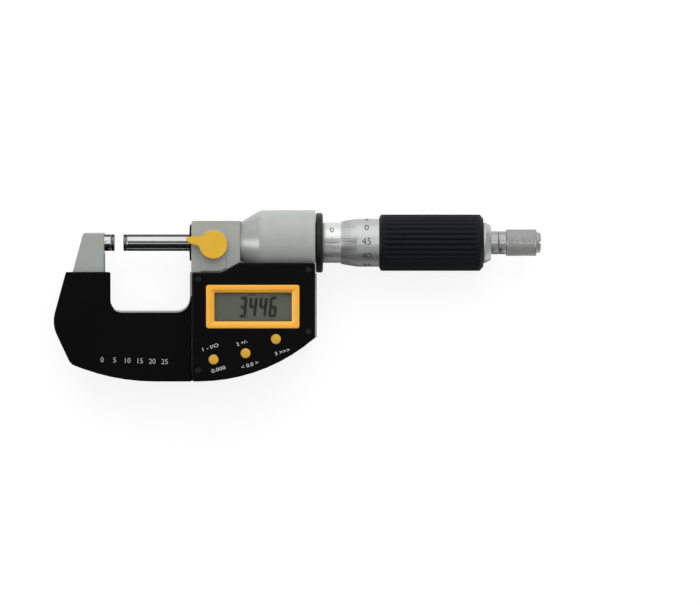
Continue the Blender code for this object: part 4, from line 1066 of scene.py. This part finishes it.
# %% Signs on the covers
unit_front = span("display_housing", 2)[1]
cover_front = span("front_frame_cover", 2)[1]
tilt = math.radians(17.0)
button_signs = (("1 - I/O", (37.0, -40.1), 1.3), ("0.000", (40.2, -48.5), 1.3),
                ("2 +/-", (49.2, -38.4), 1.15), ("< 0.0 >", (52.2, -46.8), 1.2),
                ("3 >>>", (64.6, -41.8), 1.25))
inked("unit_signs", [flat_words(words, 1.35, centre, unit_front, tilt, wide)
                     for words, centre, wide in button_signs], white_print)
inked("range_signs", [flat_words(str(n), 1.9, (-4.5 + 0.96 * n, -44.9 - 0.03 * n), cover_front)
                      for n in range(0, 26, 5)], grey_print)

# %% [markdown]
# ## Pieces that keep their CAD shape
#
# Everything inside the instrument is right as it is and only gets the finish of its
# material.

# %% Finishes for the remaining CAD nodes
kept = ((rubber, ("spindle_wiper", "housing_gasket", "lcd_connector_upper", "lcd_connector_lower")),
        (brass, ("front_bush", "lock_pad", "battery_contact", "data_connector", "encoder_rotor")),
        (green, ("encoder_stator", "circuit_board")),
        (ground_steel, ("inner_sleeve", "rotor_key", "lock_shaft", "ratchet_spring")),
        (oxide, ("adjusting_nut", "switch_1", "switch_2", "switch_3", "ratchet_pawl")),
        (crystal, ("lcd_glass",)),
        (satin_chrome, ("battery",)))
for finish, nodes in kept:
    for node in nodes:
        mesh = frame["nodes"][node].data
        mesh.materials.clear()
        mesh.materials.append(finish)
print(sum(len(nodes) for _, nodes in kept), "CAD nodes keep their shape")

# %% [markdown]
# ## Floor, light and camera
#
# The floor is a wide sheet just below the instrument that shows white to the camera and
# to reflections, but still takes a soft shadow. Polished steel needs something dark to
# reflect as well, so black and grey cards stand and lie round it, the blackest at the
# mirror-bright spindle, and only glossy rays see them. The studio is set out in metres.

# %% Floor and cards
def white_floor():
    """Diffuse sheet mixed with white light for camera, glossy and transmission rays."""
    made, wire = new_finish("white_floor")
    path = wire.node("ShaderNodeLightPath")
    camera_ray, glossy_ray, clear_ray = [Wire(wire.tree, path.socket.node.outputs[ray + " Ray"])
                                         for ray in ("Is Camera", "Is Glossy", "Is Transmission")]
    seen = wire.math("MAXIMUM", wire.math("MAXIMUM", camera_ray, glossy_ray), clear_ray)
    paper = wire.node("ShaderNodeBsdfDiffuse", inputs={"Color": display(244, 244, 244)})
    glow = wire.node("ShaderNodeEmission", inputs={"Color": (1.0, 1.0, 1.0, 1.0), "Strength": 1.1})
    mixed = wire.node("ShaderNodeMixShader", inputs={0: 0.75 * seen, 1: paper, 2: glow})
    wire.node("ShaderNodeOutputMaterial", inputs={"Surface": mixed})
    return made


def card(name, corners, finish):
    """Flat sheet through four corners."""
    mesh = bpy.data.meshes.new(name)
    mesh.from_pydata(corners, [], [(0, 1, 2, 3)])
    mesh.materials.append(finish)
    sheet = placed(name, mesh)
    return sheet


def plain_card(name, share):
    """Matt card that gives back the same share of red, green and blue light."""
    made, wire = new_finish(name)
    matt = wire.node("ShaderNodeBsdfDiffuse", inputs={"Color": (share, share, share, 1.0)})
    wire.node("ShaderNodeOutputMaterial", inputs={"Surface": matt})
    return made


ground = cad_low[2] - 0.02 * MM
over_floor = ground + 0.01 * MM
middle = (np.array(cad_low) + np.array(cad_high)) / 2
card("floor", [(middle[0] + x, middle[1] + y, ground) for x, y in ((-3, -3), (3, -3), (3, 3), (-3, 3))],
     white_floor())
black = plain_card("black_paper", 0.01)
grey = plain_card("grey_paper", 0.14)
light_grey = plain_card("light_grey_paper", 0.42)
first_x = -0.15
split_x = 0.037
last_x = 0.152
cards = (("spindle_card", first_x, split_x, (-0.1, ground), (-0.1, 0.3), black),
         ("spindle_front", first_x, split_x, (-0.1, over_floor), (-0.004, over_floor), black),
         ("spindle_behind", first_x, split_x, (0.004, over_floor), (0.4, over_floor), grey),
         ("overhead_card", first_x, split_x, (0.005, 0.5), (0.15, 0.5), black),
         ("thimble_card", split_x, last_x, (-0.13, ground), (-0.13, 0.11), grey),
         ("thimble_front", split_x, last_x, (-0.13, over_floor), (-0.004, over_floor), light_grey))
for name, left, right, near, far, finish in cards:
    sheet = card(name, [(left, *near), (right, *near), (right, *far), (left, *far)], finish)
    sheet.visible_camera = False
    sheet.visible_diffuse = False
    sheet.visible_shadow = False
print("floor at", round(ground / MM, 2), "mm")

# %% [markdown]
# A large lamp above and behind the instrument gives the steel its bright upper band, and
# a soft one beside it lights only matt surfaces. A lamp straight above evens out the
# thimble's side. A small one low at the left is seen only in reflections and draws the
# streak on the barrel's cone. Together with an even world they come to a plain level, at
# which a colour renders about as it is written.

# %% Lamps and world
def lamp(name, place, power, size, aim):
    """Soft rectangular lamp that looks at a point."""
    light = bpy.data.lights.new(name, "AREA")
    light.shape = "RECTANGLE"
    light.size, light.size_y = size
    light.energy = power
    holder = placed(name, light)
    holder.location = place
    holder.rotation_euler = (Vector(place) - Vector(aim)).to_track_quat("Z", "Y").to_euler()
    return holder


lamp("key_lamp", (0.12, 0.40, 0.27), 1.15, (0.7, 0.6), (0.07, 0.0, 0.0))
soft = lamp("soft_lamp", (0.05, 0.40, 0.30), 1.7, (0.7, 0.6), (0.07, 0.0, 0.0))
soft.visible_glossy = False
lamp("top_lamp", (0.21, 0.08, 0.9), 0.6, (0.46, 0.45), (0.21, 0.08, 0.0))
glint = lamp("glint_lamp", (-0.484, -0.03, 0.363), 2.2, (0.24, 0.24), (0.055, 0.0, 0.0))
glint.visible_diffuse = False
world = bpy.data.worlds.new("studio")
scene.world = world
world.use_nodes = True
sky = world.node_tree.nodes["Background"]
sky.inputs["Color"].default_value = (1.0, 1.0, 1.0, 1.0)
sky.inputs["Strength"].default_value = 0.58
print("four lamps and an even world")

# %% [markdown]
# The camera looks straight down from two metres, and its lens follows from the width
# that the photograph shows.

# %% Camera
camera_data = bpy.data.cameras.new("camera")
camera = placed("camera", camera_data)
distance = 2.0
width_seen = 269.2 * MM
camera.location = (90.5 * MM, -23.0 * MM, distance)
camera_data.sensor_width = 36.0
camera_data.lens = camera_data.sensor_width * distance / width_seen
camera_data.clip_start = 0.05
camera_data.clip_end = 20.0
scene.camera = camera
scene.view_settings.view_transform = "Standard"
print("lens", round(camera_data.lens, 1), "mm")

# %% Print the CAD box and finish
print("CAD box", [round((b - a) / MM, 2) for a, b in zip(cad_low, cad_high)], "mm")
